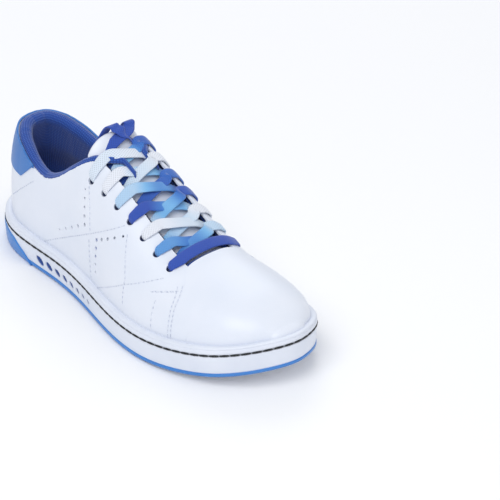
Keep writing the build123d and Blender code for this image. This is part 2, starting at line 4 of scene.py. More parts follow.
import bmesh
import bpy
import numpy as np
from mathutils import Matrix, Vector


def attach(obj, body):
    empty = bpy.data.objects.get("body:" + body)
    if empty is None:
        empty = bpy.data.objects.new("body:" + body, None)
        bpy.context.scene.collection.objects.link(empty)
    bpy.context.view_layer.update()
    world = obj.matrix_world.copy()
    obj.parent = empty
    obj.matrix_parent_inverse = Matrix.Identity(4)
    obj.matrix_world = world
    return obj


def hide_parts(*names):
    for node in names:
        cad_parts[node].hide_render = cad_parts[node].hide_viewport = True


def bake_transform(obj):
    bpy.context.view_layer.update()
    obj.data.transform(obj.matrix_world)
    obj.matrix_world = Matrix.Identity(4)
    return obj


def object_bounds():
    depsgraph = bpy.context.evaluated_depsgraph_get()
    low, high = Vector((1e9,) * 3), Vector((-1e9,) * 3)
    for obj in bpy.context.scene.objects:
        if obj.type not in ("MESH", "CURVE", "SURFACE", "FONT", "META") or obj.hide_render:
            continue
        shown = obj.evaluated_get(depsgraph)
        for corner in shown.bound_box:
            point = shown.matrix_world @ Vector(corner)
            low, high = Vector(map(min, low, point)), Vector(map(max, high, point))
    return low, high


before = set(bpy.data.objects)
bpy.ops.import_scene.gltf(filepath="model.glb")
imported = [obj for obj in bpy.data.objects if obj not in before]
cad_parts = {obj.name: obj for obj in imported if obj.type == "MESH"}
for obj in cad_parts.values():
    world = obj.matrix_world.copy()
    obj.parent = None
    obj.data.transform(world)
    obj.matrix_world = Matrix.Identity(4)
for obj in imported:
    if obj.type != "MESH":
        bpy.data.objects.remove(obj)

CAD_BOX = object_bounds()
mm = 0.001

# ---------------------------------------------------------------------------------------------------------------
# The last. The whole upper is pulled over one foot-shaped block, so every upper piece is a patch of its surface,
# moved in by the thickness of what lies outside it. Lengths here are millimetres from the middle of the sole.
low_corner, high_corner = (np.array(corner) / mm for corner in CAD_BOX)
thread_stand = 0.4
shoe_length = high_corner[0] - low_corner[0] - 2 * thread_stand
ball_width = 97.0
instep_height = 113.0
cup_wall = 3.5
lip_height = 21.5
spring_radius = 299.0
spring_start = 0.66 * shoe_length - shoe_length / 2

# share of the length, then lateral and medial half widths of the sole as shares of the ball width
OUTLINE = np.array([
    (0.012, 0.113, 0.113), (0.04, 0.206, 0.206), (0.10, 0.299, 0.299), (0.18, 0.335, 0.330),
    (0.30, 0.345, 0.312), (0.42, 0.392, 0.304), (0.54, 0.469, 0.344), (0.64, 0.510, 0.418),
    (0.73, 0.500, 0.480), (0.82, 0.443, 0.492), (0.90, 0.345, 0.445), (0.955, 0.205, 0.340),
    (0.985, 0.075, 0.215),
])
# share, crown height as a share of the instep, crown shift, lateral and medial roundness, medial lean
CROWN = np.array([
    (0.012, 0.46, 0.0, 2.6, 2.6, 0.0), (0.04, 0.743, 0.0, 2.8, 2.8, 0.0), (0.10, 0.903, 0.0, 3.0, 3.0, 0.0),
    (0.18, 0.982, 0.5, 3.0, 3.1, 0.8), (0.30, 1.0, 1.8, 2.9, 3.5, 3.0), (0.42, 0.876, 2.5, 2.6, 3.6, 4.2),
    (0.54, 0.730, 4.5, 2.3, 3.1, 3.5), (0.64, 0.597, 6.5, 2.2, 2.5, 1.5), (0.73, 0.515, 7.0, 2.2, 2.2, 0.2),
    (0.82, 0.478, 6.5, 2.3, 2.3, 0.0), (0.90, 0.447, 6.0, 2.4, 2.4, 0.0), (0.955, 0.398, 6.5, 2.5, 2.5, 0.0),
    (0.985, 0.345, 7.5, 2.5, 2.5, 0.0),
])
middle = (OUTLINE[:, 1].max() - OUTLINE[:, 2].max()) * ball_width / 2


def cubic(a, b, leave, arrive, t):
    """From a to b over t from 0 to 1, leaving and arriving at the given slopes."""
    return (
        (2 * t**3 - 3 * t**2 + 1) * a + (t**3 - 2 * t**2 + t) * leave
        + (3 * t**2 - 2 * t**3) * b + (t**3 - t**2) * arrive
    )


def smooth_table(table):
    """A table's columns read at 800 even shares, with a smooth curve through its rows."""
    share = np.linspace(0, 1, 801)
    known = np.clip(share, table[0, 0], table[-1, 0])
    slopes = np.gradient(table[:, 1:], axis=0) / np.gradient(table[:, 0])[:, None]
    i = np.clip(np.searchsorted(table[:, 0], known, side="right") - 1, 0, len(table) - 2)
    step = (table[i + 1, 0] - table[i, 0])[:, None]
    t = (known - table[i, 0])[:, None] / step
    return share, cubic(table[i, 1:], table[i + 1, 1:], step * slopes[i], step * slopes[i + 1], t)


shares, outline_columns = smooth_table(OUTLINE)
_, crown_columns = smooth_table(CROWN)


def column(values, share):
    return np.interp(share, shares, values)


def rise(x):
    """How far the sprung toe stands above the floor."""
    run = np.clip(x - spring_start, 0, None)
    return spring_radius - np.sqrt(spring_radius**2 - run**2)


def outside(points):
    """Under 1 inside the last, 1 on its surface, over 1 outside it."""
    x, y, z = points[..., 0], points[..., 1], points[..., 2]
    share = x / (shoe_length - 2 * cup_wall) + 0.5
    ends = np.minimum(share / 0.012, (1 - share) / 0.015)
    close = np.sqrt(np.clip(1 - (1 - np.clip(ends, 0, 1)) ** 2, 1e-6, 1))
    drop = cup_wall * np.minimum(1, 0.25 + 0.75 * np.minimum(share, 1 - share) / 0.12)
    feather = lip_height - 1.5 + rise(x)
    crown = middle + column(crown_columns[:, 1], share)
    height = np.maximum(column(crown_columns[:, 0], share) * instep_height - feather, 1.5)
    up = np.clip((z - feather) / (height * close**0.8), 0, None)
    medial = y > crown
    ease = np.clip(up / 0.4, 0, 1)
    lean = column(crown_columns[:, 4], share) * ease**2 * (3 - 2 * ease)
    lateral_reach = crown - middle + column(outline_columns[:, 0], share) * ball_width - drop
    medial_reach = middle - crown + column(outline_columns[:, 1], share) * ball_width - drop + lean
    reach = np.where(medial, medial_reach, lateral_reach) * close
    power = np.where(medial, column(crown_columns[:, 3], share), column(crown_columns[:, 2], share))
    value = (np.abs(y - crown) / np.maximum(reach, 0.05)) ** power + up**power
    return np.where((share <= 0) | (share >= 1), 9.0, value)


def shoot(origin, direction, far=170.0):
    """Where rays from inside the last leave it."""
    near_t = np.zeros(direction.shape[:-1])
    far_t = np.full(direction.shape[:-1], far)
    for _ in range(34):
        half = (near_t + far_t) / 2
        inside = outside(origin + direction * half[..., None]) < 1
        near_t = np.where(inside, half, near_t)
        far_t = np.where(inside, far_t, half)
    return origin + direction * near_t[..., None]


def normals(points, step=0.6):
    """Outward unit normals of the last's surface."""
    slope = np.stack(
        [outside(points + axis) - outside(points - axis) for axis in np.eye(3) * step], axis=-1
    )
    return slope / np.maximum(np.linalg.norm(slope, axis=-1, keepdims=True), 1e-9)


def along(share):
    return (share - 0.5) * shoe_length


# ---------------------------------------------------------------------------------------------------------------
# Studio: a pale floor, one broad soft key light above the lateral side, a fill and a rim light, and the camera.
def linear(colour):
    """sRGB hex to linear."""
    parts = [int(colour[i:i + 2], 16) / 255 for i in (1, 3, 5)]
    return [p / 12.92 if p <= 0.04045 else ((p + 0.055) / 1.055) ** 2.4 for p in parts] + [1.0]


def node(tree, kind, settings=None, **links):
    """Add a node; settings set its properties, links its inputs, by name, to a value or a socket."""
    made = tree.nodes.new(kind)
    for key, value in (settings or {}).items():
        setattr(made, key, value)
    for key, value in links.items():
        numbered = key[0] == "i" and key[1:].isdigit()
        slot = made.inputs[int(key[1:]) if numbered else key.replace("_", " ")]
        if isinstance(value, bpy.types.NodeSocket):
            tree.links.new(value, slot)
        else:
            slot.default_value = value
    return made


def two_tone(tree, surface, pattern, dark, light):
    """Colour a surface between two shades by a pattern."""
    tint = node(tree, "ShaderNodeMix", {"data_type": "RGBA"}, i0=pattern, i6=linear(dark), i7=linear(light))
    tree.links.new(tint.outputs[2], surface.inputs["Base Color"])


def emboss(tree, surface, pattern, strength, depth):
    """Raise a surface's fine grain by a pattern, its depth in metres."""
    bump = node(tree, "ShaderNodeBump", Strength=strength, Distance=depth, Height=pattern)
    tree.links.new(bump.outputs["Normal"], surface.inputs["Normal"])


def new_material(name):
    made = bpy.data.materials.new(name)
    made.use_nodes = True
    tree = made.node_tree
    surface = tree.nodes["Principled BSDF"]
    return made, tree, surface


floor_paper, tree, surface = new_material("floor_paper")
surface.inputs["Base Color"].default_value = linear("#FDFDFE")
surface.inputs["Roughness"].default_value = 0.75
bpy.ops.mesh.primitive_plane_add(size=6.0, location=(0, 0, float(CAD_BOX[0][2])))
floor = bpy.context.object
floor.name = "floor"
floor.data.materials.append(floor_paper)

world = bpy.data.worlds.new("studio")
bpy.context.scene.world = world
bpy.context.scene.view_settings.view_transform = "Standard"
world.use_nodes = True
world.node_tree.nodes["Background"].inputs["Color"].default_value = linear("#F2F5FA")
world.node_tree.nodes["Background"].inputs["Strength"].default_value = 0.62

for name, place, size, power in (
    ("key", (0.5, -0.9, 1.5), 1.2, 14.5),
    ("fill", (1.5, 0.4, 0.9), 1.6, 3.2),
    ("rim", (-1.0, 0.9, 1.2), 0.9, 5.5),
):
    lamp = bpy.data.lights.new(name, "AREA")
    lamp.size = size
    lamp.energy = power
    holder = bpy.data.objects.new(name, lamp)
    holder.location = place
    holder.rotation_euler = (Vector((0, 0, 0.04)) - Vector(place)).to_track_quat("-Z", "Y").to_euler()
    bpy.context.scene.collection.objects.link(holder)

camera_data = bpy.data.cameras.new("camera")
camera_data.lens = 281.6
camera_data.sensor_width = 36.0
camera = bpy.data.objects.new("camera", camera_data)
camera.location = (1.705, -1.311, 1.2937)
aim = Vector((0.0396, 0.0515, 0.036))
camera.rotation_euler = (aim - camera.location).to_track_quat("-Z", "Y").to_euler()
bpy.context.scene.collection.objects.link(camera)
bpy.context.scene.camera = camera


# ---------------------------------------------------------------------------------------------------------------
# Cup sole: one piece of moulded polyurethane rubber, with a rolled lip, a channel for the sidewall thread and a
# row of slanted windows in each side that show the blue foam core. The upper is glued down into the cup.
def sole_curve(count):
    """Evenly spaced points around the sole's edge, from the heel along the lateral side, and outward normals."""
    lateral = np.stack([along(OUTLINE[:, 0]), middle - OUTLINE[:, 1] * ball_width], 1)
    medial = np.stack([along(OUTLINE[:, 0]), middle + OUTLINE[:, 2] * ball_width], 1)[::-1]
    toe = [[along(1.0), middle + 0.075 * ball_width]]
    heel = [[along(0.0), middle]]
    knots = np.concatenate([heel, lateral, toe, medial])
    n = len(knots)
    gaps = np.linalg.norm(np.roll(knots, -1, 0) - knots, axis=1)
    system = np.zeros((n, n))
    right = np.zeros((n, 2))
    for k in range(n):
        before, after = gaps[k - 1], gaps[k]
        system[k, k - 1] = after
        system[k, k] = 2 * (before + after)
        system[k, (k + 1) % n] = before
        right[k] = 3 * (
            after / before * (knots[k] - knots[k - 1]) + before / after * (knots[(k + 1) % n] - knots[k])
        )
    tangents = np.linalg.solve(system, right)
    fine = []
    for k in range(n):
        t = np.linspace(0, 1, 60, endpoint=False)[:, None]
        after = (k + 1) % n
        fine.append(cubic(knots[k], knots[after], gaps[k] * tangents[k], gaps[k] * tangents[after], t))
    fine = np.concatenate(fine)
    ring = np.concatenate([fine, fine[:1]])
    walked = np.concatenate([[0], np.cumsum(np.linalg.norm(np.diff(ring, axis=0), axis=1))])
    even = np.linspace(0, walked[-1], count, endpoint=False)
    points = np.stack([np.interp(even, walked, ring[:, i]) for i in (0, 1)], 1)
    run = np.roll(points, -2, 0) - np.roll(points, 2, 0)
    run /= np.linalg.norm(run, axis=1)[:, None]
    return points, np.stack([run[:, 1], -run[:, 0]], 1)


def around(offset, level):
    """A line around the sole, a distance out from its edge and at a height above the sprung floor."""
    flat = edge + edge_out * np.asarray(offset).reshape(-1, 1)
    return np.column_stack([flat, rise(flat[:, 0]) + level])


def build(name, points, closed_rows=False, closed_columns=False, faces_out=True):
    """A mesh object from a grid of points in millimetres, with a UV map in metres along the surface."""
    rows, columns = points.shape[:2]
    r = np.arange(rows if closed_rows else rows - 1)
    c = np.arange(columns if closed_columns else columns - 1)
    r, c = np.meshgrid(r, c, indexing="ij")
    r2, c2 = (r + 1) % rows, (c + 1) % columns
    quads = np.stack([r * columns + c, r2 * columns + c, r2 * columns + c2, r * columns + c2], -1).reshape(-1, 4)
    if not faces_out:
        quads = quads[:, ::-1]
    mesh = bpy.data.meshes.new(name)
    mesh.from_pydata((points.reshape(-1, 3) * mm).tolist(), [], quads.tolist())
    u = np.zeros((rows, columns))
    v = np.zeros((rows, columns))
    u[1:] = np.cumsum(np.linalg.norm(np.diff(points, axis=0), axis=-1), axis=0)
    v[:, 1:] = np.cumsum(np.linalg.norm(np.diff(points, axis=1), axis=-1), axis=1)
    u = np.repeat(u.mean(axis=1, keepdims=True), columns, 1)
    layer = mesh.uv_layers.new(name="cloth")
    corner = np.empty(len(mesh.loops), dtype=np.int32)
    mesh.loops.foreach_get("vertex_index", corner)
    layer.data.foreach_set("uv", (np.stack([u.ravel()[corner], v.ravel()[corner]], 1) * mm).ravel())
    mesh.polygons.foreach_set("use_smooth", [True] * len(mesh.polygons))
    made = bpy.data.objects.new(name, mesh)
    bpy.context.scene.collection.objects.link(made)
    return made


def weld(piece):
    """Merge the doubled points of closed ends, so that no pole stays open."""
    solid = bmesh.new()
    solid.from_mesh(piece.data)
    bmesh.ops.remove_doubles(solid, verts=solid.verts, dist=0.004 * mm)
    solid.to_mesh(piece.data)
    solid.free()
    return piece


def settle(piece, modifiers=()):
    """Give a piece its modifiers and keep only their result."""
    for kind, settings in modifiers:
        made = piece.modifiers.new(kind, kind)
        for key, value in settings.items():
            setattr(made, key, value)
    bpy.context.view_layer.update()
    solid = bpy.data.meshes.new_from_object(piece.evaluated_get(bpy.context.evaluated_depsgraph_get()))
    piece.modifiers.clear()
    piece.data = solid
    return piece


def wall(thickness):
    """A sheet's thickness, under its outer face."""
    return "SOLIDIFY", {"thickness": thickness * mm, "offset": -1.0}


def soft_edge(width):
    """A small rounding of sharp edges."""
    return "BEVEL", {"width": width * mm, "segments": 3, "limit_method": "ANGLE", "angle_limit": radians(50)}


def bends(piece):
    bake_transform(piece)


def finish_piece(piece, material, body=None, stands_for=()):
    """Material, body and the solids of the frame that the piece stands for."""
    piece.data.materials.clear()
    piece.data.materials.append(material)
    if body:
        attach(piece, body)
    else:
        bends(piece)
    if stands_for:
        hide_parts(*stands_for)


window_count, window_first, window_pitch, window_shrink = 8, 0.235, 0.037, 0.9
window_length, window_height, window_level = 8.2, 5.4, 8.2


def window_depth(points):
    """1 inside a window, 0 outside it, with a steep edge."""
    deep = np.zeros(points.shape[:-1])
    share, size = window_first, 1.0
    for _ in range(window_count):
        dx = points[..., 0] - along(share)
        dz = points[..., 2] - rise(points[..., 0]) - window_level
        a, b = cos(radians(25)), sin(radians(25))
        across = ((dx * a - dz * b) / (window_length / 2 * size)) ** 2
        across += ((dx * b + dz * a) / (window_height / 2 * size)) ** 2
        deep = np.maximum(deep, np.clip((1.12 - across) / 0.3, 0, 1))
        share += window_pitch * (0.45 + 0.55 * size)
        size *= window_shrink
    return deep * (points[..., 0] < along(0.52))


# outward offset and height of the cup's section, from inside the lip, over it and down to the base
CUP_SECTION = [
    (-5.8, 17.0), (-5.2, 20.0), (-4.5, 21.1), (-3.2, 21.8), (-1.4, 22.0), (-0.2, 21.8), (0.5, 21.3), (0.9, 20.6),
    (0.75, 20.2), (0.62, 19.95), (0.75, 19.7), (1.05, 19.3), (1.15, 18.4), (1.15, 17.5), (1.0, 17.1), (0.45, 16.9),
    (0.3, 16.2), (0.45, 15.5), (1.0, 15.3), (1.15, 14.9), (1.12, 14.0), (1.05, 13.2), (1.0, 12.6), (0.96, 12.0),
    (0.92, 11.4), (0.88, 10.8), (0.84, 10.2), (0.8, 9.6), (0.76, 9.0), (0.71, 8.4), (0.66, 7.8), (0.61, 7.2),
    (0.55, 6.6), (0.5, 6.0), (0.45, 5.4), (0.4, 4.6), (0.35, 3.8), (0.2, 3.2), (-0.6, 3.1), (-0.6, 1.6),
    (-0.9, 1.0), (-1.6, 0.8), (-4.0, 0.8), (-9.0, 0.8), (-9.0, 3.6), (-7.0, 4.6), (-5.2, 6.0), (-4.6, 9.0),
]
edge, edge_out = sole_curve(1400)
section_grid = np.stack([around(offset, level) for offset, level in CUP_SECTION], 1)
outer_wall = np.array([offset > 0.3 and 3.5 < level < 15 for offset, level in CUP_SECTION])
dent = window_depth(section_grid) * outer_wall[None, :]
section_grid[..., :2] -= edge_out[:, None, :] * dent[..., None] * 2.2
cup_sole = build("cup_sole", section_grid, closed_rows=True, closed_columns=True, faces_out=False)
shade = cup_sole.data.attributes.new("window", "FLOAT", "POINT")
shade.data.foreach_set("value", dent.ravel())

sole_rubber, tree, surface = new_material("moulded_polyurethane")
# Satin moulded rubber: even, faintly mottled by the mould, with blue foam behind the windows.
place = node(tree, "ShaderNodeTexCoord").outputs["Object"]
mould = node(tree, "ShaderNodeTexNoise", Vector=place, Scale=2600.0, Detail=3.0)
cloud = node(tree, "ShaderNodeTexNoise", Vector=place, Scale=45.0, Detail=2.0)
tint = node(
    tree, "ShaderNodeMix", {"data_type": "RGBA"}, i0=cloud.outputs["Fac"], i6=linear("#D9DFEC"), i7=linear("#E9EDF6")
)
mask = node(tree, "ShaderNodeAttribute", {"attribute_name": "window"})
hard = node(tree, "ShaderNodeMapRange", Value=mask.outputs["Fac"], From_Min=0.2, From_Max=0.5)
both = node(
    tree, "ShaderNodeMix", {"data_type": "RGBA"}, i0=hard.outputs["Result"], i6=tint.outputs[2], i7=linear("#27509C")
)
tree.links.new(both.outputs[2], surface.inputs["Base Color"])
emboss(tree, surface, mould.outputs["Fac"], 0.12, 0.0001)
surface.inputs["Roughness"].default_value = 0.42
finish_piece(cup_sole, sole_rubber, stands_for=("cupsole_rear", "cupsole_forefoot"))


# ---------------------------------------------------------------------------------------------------------------
# Sidewall thread: one run of waxed black polyester thread round the whole cup, locked every 6.8 mm, lying in the
# channel under the lip. It holds the cup to the upper.
def stitch_tree():
    """Rounded stitches end to end along a line, each lying flat on the surface that the line's "out" points from."""
    tree = bpy.data.node_groups.new("thread_stitches", "GeometryNodeTree")
    tree.interface.new_socket("Geometry", in_out="INPUT", socket_type="NodeSocketGeometry")
    for label in ("Pitch", "Stitch Length", "Stitch Width", "Stitch Height"):
        tree.interface.new_socket(label, in_out="INPUT", socket_type="NodeSocketFloat")
    tree.interface.new_socket("Thread", in_out="INPUT", socket_type="NodeSocketMaterial")
    tree.interface.new_socket("Geometry", in_out="OUTPUT", socket_type="NodeSocketGeometry")
    given = node(tree, "NodeGroupInput")
    line = node(tree, "GeometryNodeMeshToCurve", Mesh=given.outputs["Geometry"])
    spaced = node(
        tree, "GeometryNodeResampleCurve", {"mode": "LENGTH"}, Curve=line.outputs["Curve"],
        Length=given.outputs["Pitch"],
    )
    way = node(tree, "GeometryNodeInputTangent")
    out = node(tree, "GeometryNodeInputNamedAttribute", {"data_type": "FLOAT_VECTOR"}, Name="out")
    turn = node(
        tree, "FunctionNodeAxesToRotation", {"primary_axis": "X", "secondary_axis": "Z"},
        i0=way.outputs["Tangent"], i1=out.outputs["Attribute"],
    )
    size = node(
        tree, "ShaderNodeCombineXYZ", X=given.outputs["Stitch Length"], Y=given.outputs["Stitch Width"],
        Z=given.outputs["Stitch Height"],
    )
    bead = node(tree, "GeometryNodeMeshUVSphere", Segments=8, Rings=6, Radius=0.5)
    placed = node(
        tree, "GeometryNodeInstanceOnPoints", Points=spaced.outputs["Curve"], Instance=bead.outputs["Mesh"],
        Rotation=turn.outputs["Rotation"], Scale=size.outputs["Vector"],
    )
    real = node(tree, "GeometryNodeRealizeInstances", Geometry=placed.outputs["Instances"])
    smooth = node(tree, "GeometryNodeSetShadeSmooth", Geometry=real.outputs["Geometry"])
    thread = node(
        tree, "GeometryNodeSetMaterial", Geometry=smooth.outputs[0], Material=given.outputs["Thread"]
    )
    node(tree, "NodeGroupOutput", Geometry=thread.outputs["Geometry"])
    return tree


THREAD_STITCHES = stitch_tree()


def grow(name, tree, lines, sizes, extra=()):
    """Run a geometry tree on lines of (points, outward directions) in millimetres and keep the mesh it makes."""
    points = np.concatenate([line for line, _ in lines]) * mm
    edges, first = [], 0
    for line, _ in lines:
        edges += [(first + k, first + k + 1) for k in range(len(line) - 1)]
        first += len(line)
    mesh = bpy.data.meshes.new(name)
    mesh.from_pydata(points.tolist(), edges if tree is THREAD_STITCHES else [], [])
    out = mesh.attributes.new("out", "FLOAT_VECTOR", "POINT")
    out.data.foreach_set("vector", np.concatenate([way for _, way in lines]).ravel())
    for label, values in extra:
        layer = mesh.attributes.new(label, "FLOAT", "POINT")
        layer.data.foreach_set("value", values)
    made = bpy.data.objects.new(name, mesh)
    bpy.context.scene.collection.objects.link(made)
    modifier = made.modifiers.new("grow", "NODES")
    modifier.node_group = tree
    for socket in tree.interface.items_tree:
        if socket.in_out == "INPUT" and socket.name in sizes:
            modifier[socket.identifier] = sizes[socket.name]
    bpy.context.view_layer.update()
    solid = bpy.data.meshes.new_from_object(made.evaluated_get(bpy.context.evaluated_depsgraph_get()))
    made.modifiers.clear()
    made.data = solid
    return made


def new_thread(name, dark, light):
    """Twisted polyester thread: two plies that show as slanted bands about 0.8 mm apart."""
    thread, tree, surface = new_material(name)
    place = node(tree, "ShaderNodeTexCoord").outputs["Object"]
    twist = node(tree, "ShaderNodeTexWave", {"bands_direction": "DIAGONAL"}, Vector=place, Scale=200.0, Distortion=1.0)
    two_tone(tree, surface, twist.outputs["Fac"], dark, light)
    emboss(tree, surface, twist.outputs["Fac"], 0.4, 0.0002)
    surface.inputs["Roughness"].default_value = 0.5
    return thread


black_thread = new_thread("waxed_black_thread", "#0C0D11", "#1D1F26")
channel = around(0.95, 16.2)
channel = np.concatenate([channel, channel[:1]])
channel_out = np.column_stack([np.concatenate([edge_out, edge_out[:1]]), np.zeros(len(channel))])
cup_thread = grow(
    "cup_thread", THREAD_STITCHES, [(channel, channel_out)],
    {
        "Pitch": 6.8 * mm, "Stitch Length": 7.7 * mm, "Stitch Width": 1.35 * mm, "Stitch Height": 1.1 * mm,
        "Thread": black_thread,
    },
)
finish_piece(cup_thread, black_thread, stands_for=("welt_stitch",))


# ---------------------------------------------------------------------------------------------------------------
# Quarters: the two side panels of smooth coated leather, 1.8 mm thick, cut along the collar, the throat and the
# curved front edge that overlaps the vamp. They meet at the heel in a seam.
leather = 1.8
throat_end = 0.716
# share of the length, then the top line's height: level at the heel, down to the ankle, up to the eyelet facing
collar_line = [
    (-0.06, 84.5), (0.045, 84.5), (0.13, 77.0), (0.20, 69.5), (0.24, 68.5), (0.28, 73.5), (0.33, 84.5),
    (0.38, 94.5), (0.42, 96.5),
]
# height, then how far forward the edge stands: upright beside the toes, then back in an S to the throat's corner
front_line = [(-5, 79), (20, 78), (36, 76), (42, 74), (47, 72), (51, 68), (56, 60), (62, 59), (120, 58)]


def smooth_line(points, count=600):
    """A smooth curve through points, as arrays for interpolation."""
    known = np.array(points, dtype=float)
    slope = np.gradient(known[:, 1], known[:, 0])
    x = np.linspace(known[0, 0], known[-1, 0], count)
    i = np.clip(np.searchsorted(known[:, 0], x, side="right") - 1, 0, len(known) - 2)
    step = known[i + 1, 0] - known[i, 0]
    t = (x - known[i, 0]) / step
    return x, cubic(known[i, 1], known[i + 1, 1], step * slope[i], step * slope[i + 1], t)


collar_curve = smooth_line([(along(share), z) for share, z in collar_line])
front_curve = smooth_line(front_line)


def crown_y(x):
    return middle + column(crown_columns[:, 1], x / (shoe_length - 2 * cup_wall) + 0.5)


def throat_middle(x):
    t = (x - along(0.4025)) / (along(throat_end) - along(0.4025))
    return middle + 1.2 + 3.8 * t


def throat_half(x, side):
    t = (x - along(0.4025)) / (along(throat_end) - along(0.4025))
    return 15.5 + 2.5 * t + (1.3 if side < 0 else 0.0)


def ribs(u, side, count=190):
    """Lines up the last from the sole's edge, from the back of the heel (u 0) to the vamp (u 1)."""
    fan_end, hub = 0.18, along(0.14)
    turn = np.clip(u / fan_end, 0, 1) * pi / 2
    x = hub + np.clip((u - fan_end) / (1 - fan_end), 0, 1) * (84 - hub)
    rise_angle = np.linspace(0, radians(86), count)
    way = np.stack(
        [
            -np.outer(np.cos(turn), np.cos(rise_angle)),
            side * np.outer(np.sin(turn), np.cos(rise_angle)),
            np.outer(np.ones(len(u)), np.sin(rise_angle)),
        ],
        -1,
    )
    start = np.stack([x, crown_y(x), lip_height - 1.5 + rise(x)], -1)[:, None, :]
    return shoot(np.broadcast_to(start, way.shape), way)


def cut_ribs(lines, keep, rows):
    """Each line up to the first point that isn't kept, in even steps."""
    cut = []
    for line, kept in zip(lines, keep):
        last = max(int(np.argmin(kept)) if not kept.all() else len(kept), 2)
        part = line[:last]
        walked = np.concatenate([[0], np.cumsum(np.linalg.norm(np.diff(part, axis=0), axis=1))])
        even = np.linspace(0, walked[-1], rows)
        cut.append(np.stack([np.interp(even, walked, part[:, i]) for i in range(3)], -1))
    return np.array(cut)


def below_collar(points):
    return points[..., 2] < np.interp(points[..., 0], *collar_curve)


def outside_throat(points, side, inset=0.0):
    x = points[..., 0]
    gap = side * (points[..., 1] - throat_middle(x)) > throat_half(x, side) + inset
    return gap | (x < along(0.372))


def front_fit(table, rows, columns_u):
    """Squeeze each row of a table so that its far end lies on the quarter's front edge."""
    fitted = np.zeros((len(columns_u), rows, 3))
    place = np.arange(len(table))
    for j in range(rows):
        over = table[:, j, 0] - np.interp(table[:, j, 2], *front_curve)
        first = int(np.argmax(over > 0)) if (over > 0).any() else len(table) - 1
        exact = first - over[first] / max(over[first] - over[first - 1], 1e-6)
        for i in range(3):
            fitted[:, j, i] = np.interp(columns_u * exact, place, table[:, j, i])
    return fitted


def side_panel(side, rows=70, columns=300, inset=0.0, drop=4.0):
    lines = ribs(np.linspace(0, 1, 420), side)
    table = cut_ribs(lines, below_collar(lines) & outside_throat(lines, side, inset), rows)
    panel = front_fit(table, rows, np.linspace(0, 1, columns))
    skirt = panel[:, :1] - np.array([0, 0, drop])
    return np.concatenate([skirt, panel], axis=1)


coated_leather, tree, surface = new_material("coated_leather")
# Smooth polyurethane-coated leather: a fine pebbled grain about 0.7 mm across, soft gloss, faint cool cast.
place = node(tree, "ShaderNodeTexCoord").outputs["Object"]
pebble = node(tree, "ShaderNodeTexVoronoi", {"feature": "SMOOTH_F1"}, Vector=place, Scale=1300.0)
fine = node(tree, "ShaderNodeTexNoise", Vector=place, Scale=900.0, Detail=4.0)
cloud = node(tree, "ShaderNodeTexNoise", Vector=place, Scale=28.0, Detail=3.0)
two_tone(tree, surface, cloud.outputs["Fac"], "#DCE3F0", "#EBEEF6")
grain = node(tree, "ShaderNodeMath", {"operation": "ADD"}, i0=pebble.outputs["Distance"], i1=fine.outputs["Fac"])
emboss(tree, surface, grain.outputs[0], 0.16, 0.0002)
wear = node(tree, "ShaderNodeMapRange", Value=cloud.outputs["Fac"], To_Min=0.34, To_Max=0.46)
tree.links.new(wear.outputs["Result"], surface.inputs["Roughness"])
surface.inputs["Coat Weight"].default_value = 0.12
surface.inputs["Coat Roughness"].default_value = 0.3


def on_upper(x, y, depth):
    """Points at a depth under the outside of the upper, and the surface's normals there."""
    x, y = np.broadcast_arrays(np.asarray(x, float), np.asarray(y, float))
    start = np.stack([x, y, lip_height + rise(x) - 1.5], -1)
    up = np.broadcast_to(np.array([0.0, 0.0, 1.0]), start.shape)
    top = shoot(start, up)
    out = normals(top)
    return top - out * np.asarray(depth)[..., None], out


def on_side(x, z, side):
    """Points on the side of the upper at places seen from the side."""
    x, z = np.broadcast_arrays(np.asarray(x, float), np.asarray(z, float))
    start = np.stack([x, crown_y(x), z], -1)
    way = np.broadcast_to(np.array([0.0, side, 0.0]), start.shape)
    top = shoot(start, way)
    return top, normals(top)


def punch_tree():
    """A round punch at each point, square to the leather, as wide as the point's "size"."""
    tree = bpy.data.node_groups.new("hole_punches", "GeometryNodeTree")
    tree.interface.new_socket("Geometry", in_out="INPUT", socket_type="NodeSocketGeometry")
    tree.interface.new_socket("Reach", in_out="INPUT", socket_type="NodeSocketFloat")
    tree.interface.new_socket("Geometry", in_out="OUTPUT", socket_type="NodeSocketGeometry")
    given = node(tree, "NodeGroupInput")
    out = node(tree, "GeometryNodeInputNamedAttribute", {"data_type": "FLOAT_VECTOR"}, Name="out")
    width = node(tree, "GeometryNodeInputNamedAttribute", {"data_type": "FLOAT"}, Name="size")
    turn = node(tree, "FunctionNodeAlignRotationToVector", {"axis": "Z"}, Vector=out.outputs["Attribute"])
    size = node(
        tree, "ShaderNodeCombineXYZ", X=width.outputs["Attribute"], Y=width.outputs["Attribute"],
        Z=given.outputs["Reach"],
    )
    punch = node(tree, "GeometryNodeMeshCylinder", Vertices=14, Radius=0.5, Depth=1.0)
    placed = node(
        tree, "GeometryNodeInstanceOnPoints", Points=given.outputs["Geometry"], Instance=punch.outputs["Mesh"],
        Rotation=turn.outputs["Rotation"], Scale=size.outputs["Vector"],
    )
    real = node(tree, "GeometryNodeRealizeInstances", Geometry=placed.outputs["Instances"])
    node(tree, "NodeGroupOutput", Geometry=real.outputs["Geometry"])
    return tree


HOLE_PUNCHES = punch_tree()
eyelet_rows, eyelet_edge, eyelet_bore = 7, 9.0, 5.0
eyelet_first, eyelet_last = along(0.687), along(0.4025)
# Vent holes stand in two Ls. A corner's place along, height and hole width, then for each of its arms the even
# step along and up from hole to hole, and how much narrower each hole is than the one before.
VENT_CORNERS = (
    (-25, 56, 2.4, ((-1.2, 5.5, 0.3), (-7.6, -4.5, 0.3))),
    (-9, 53, 2.5, ((5.6, 2.8, 0.2), (0.5, -5.4, 0.2))),
)
vents_in_arm = 4
seam_margin, seam_gap = 2.2, 2.2


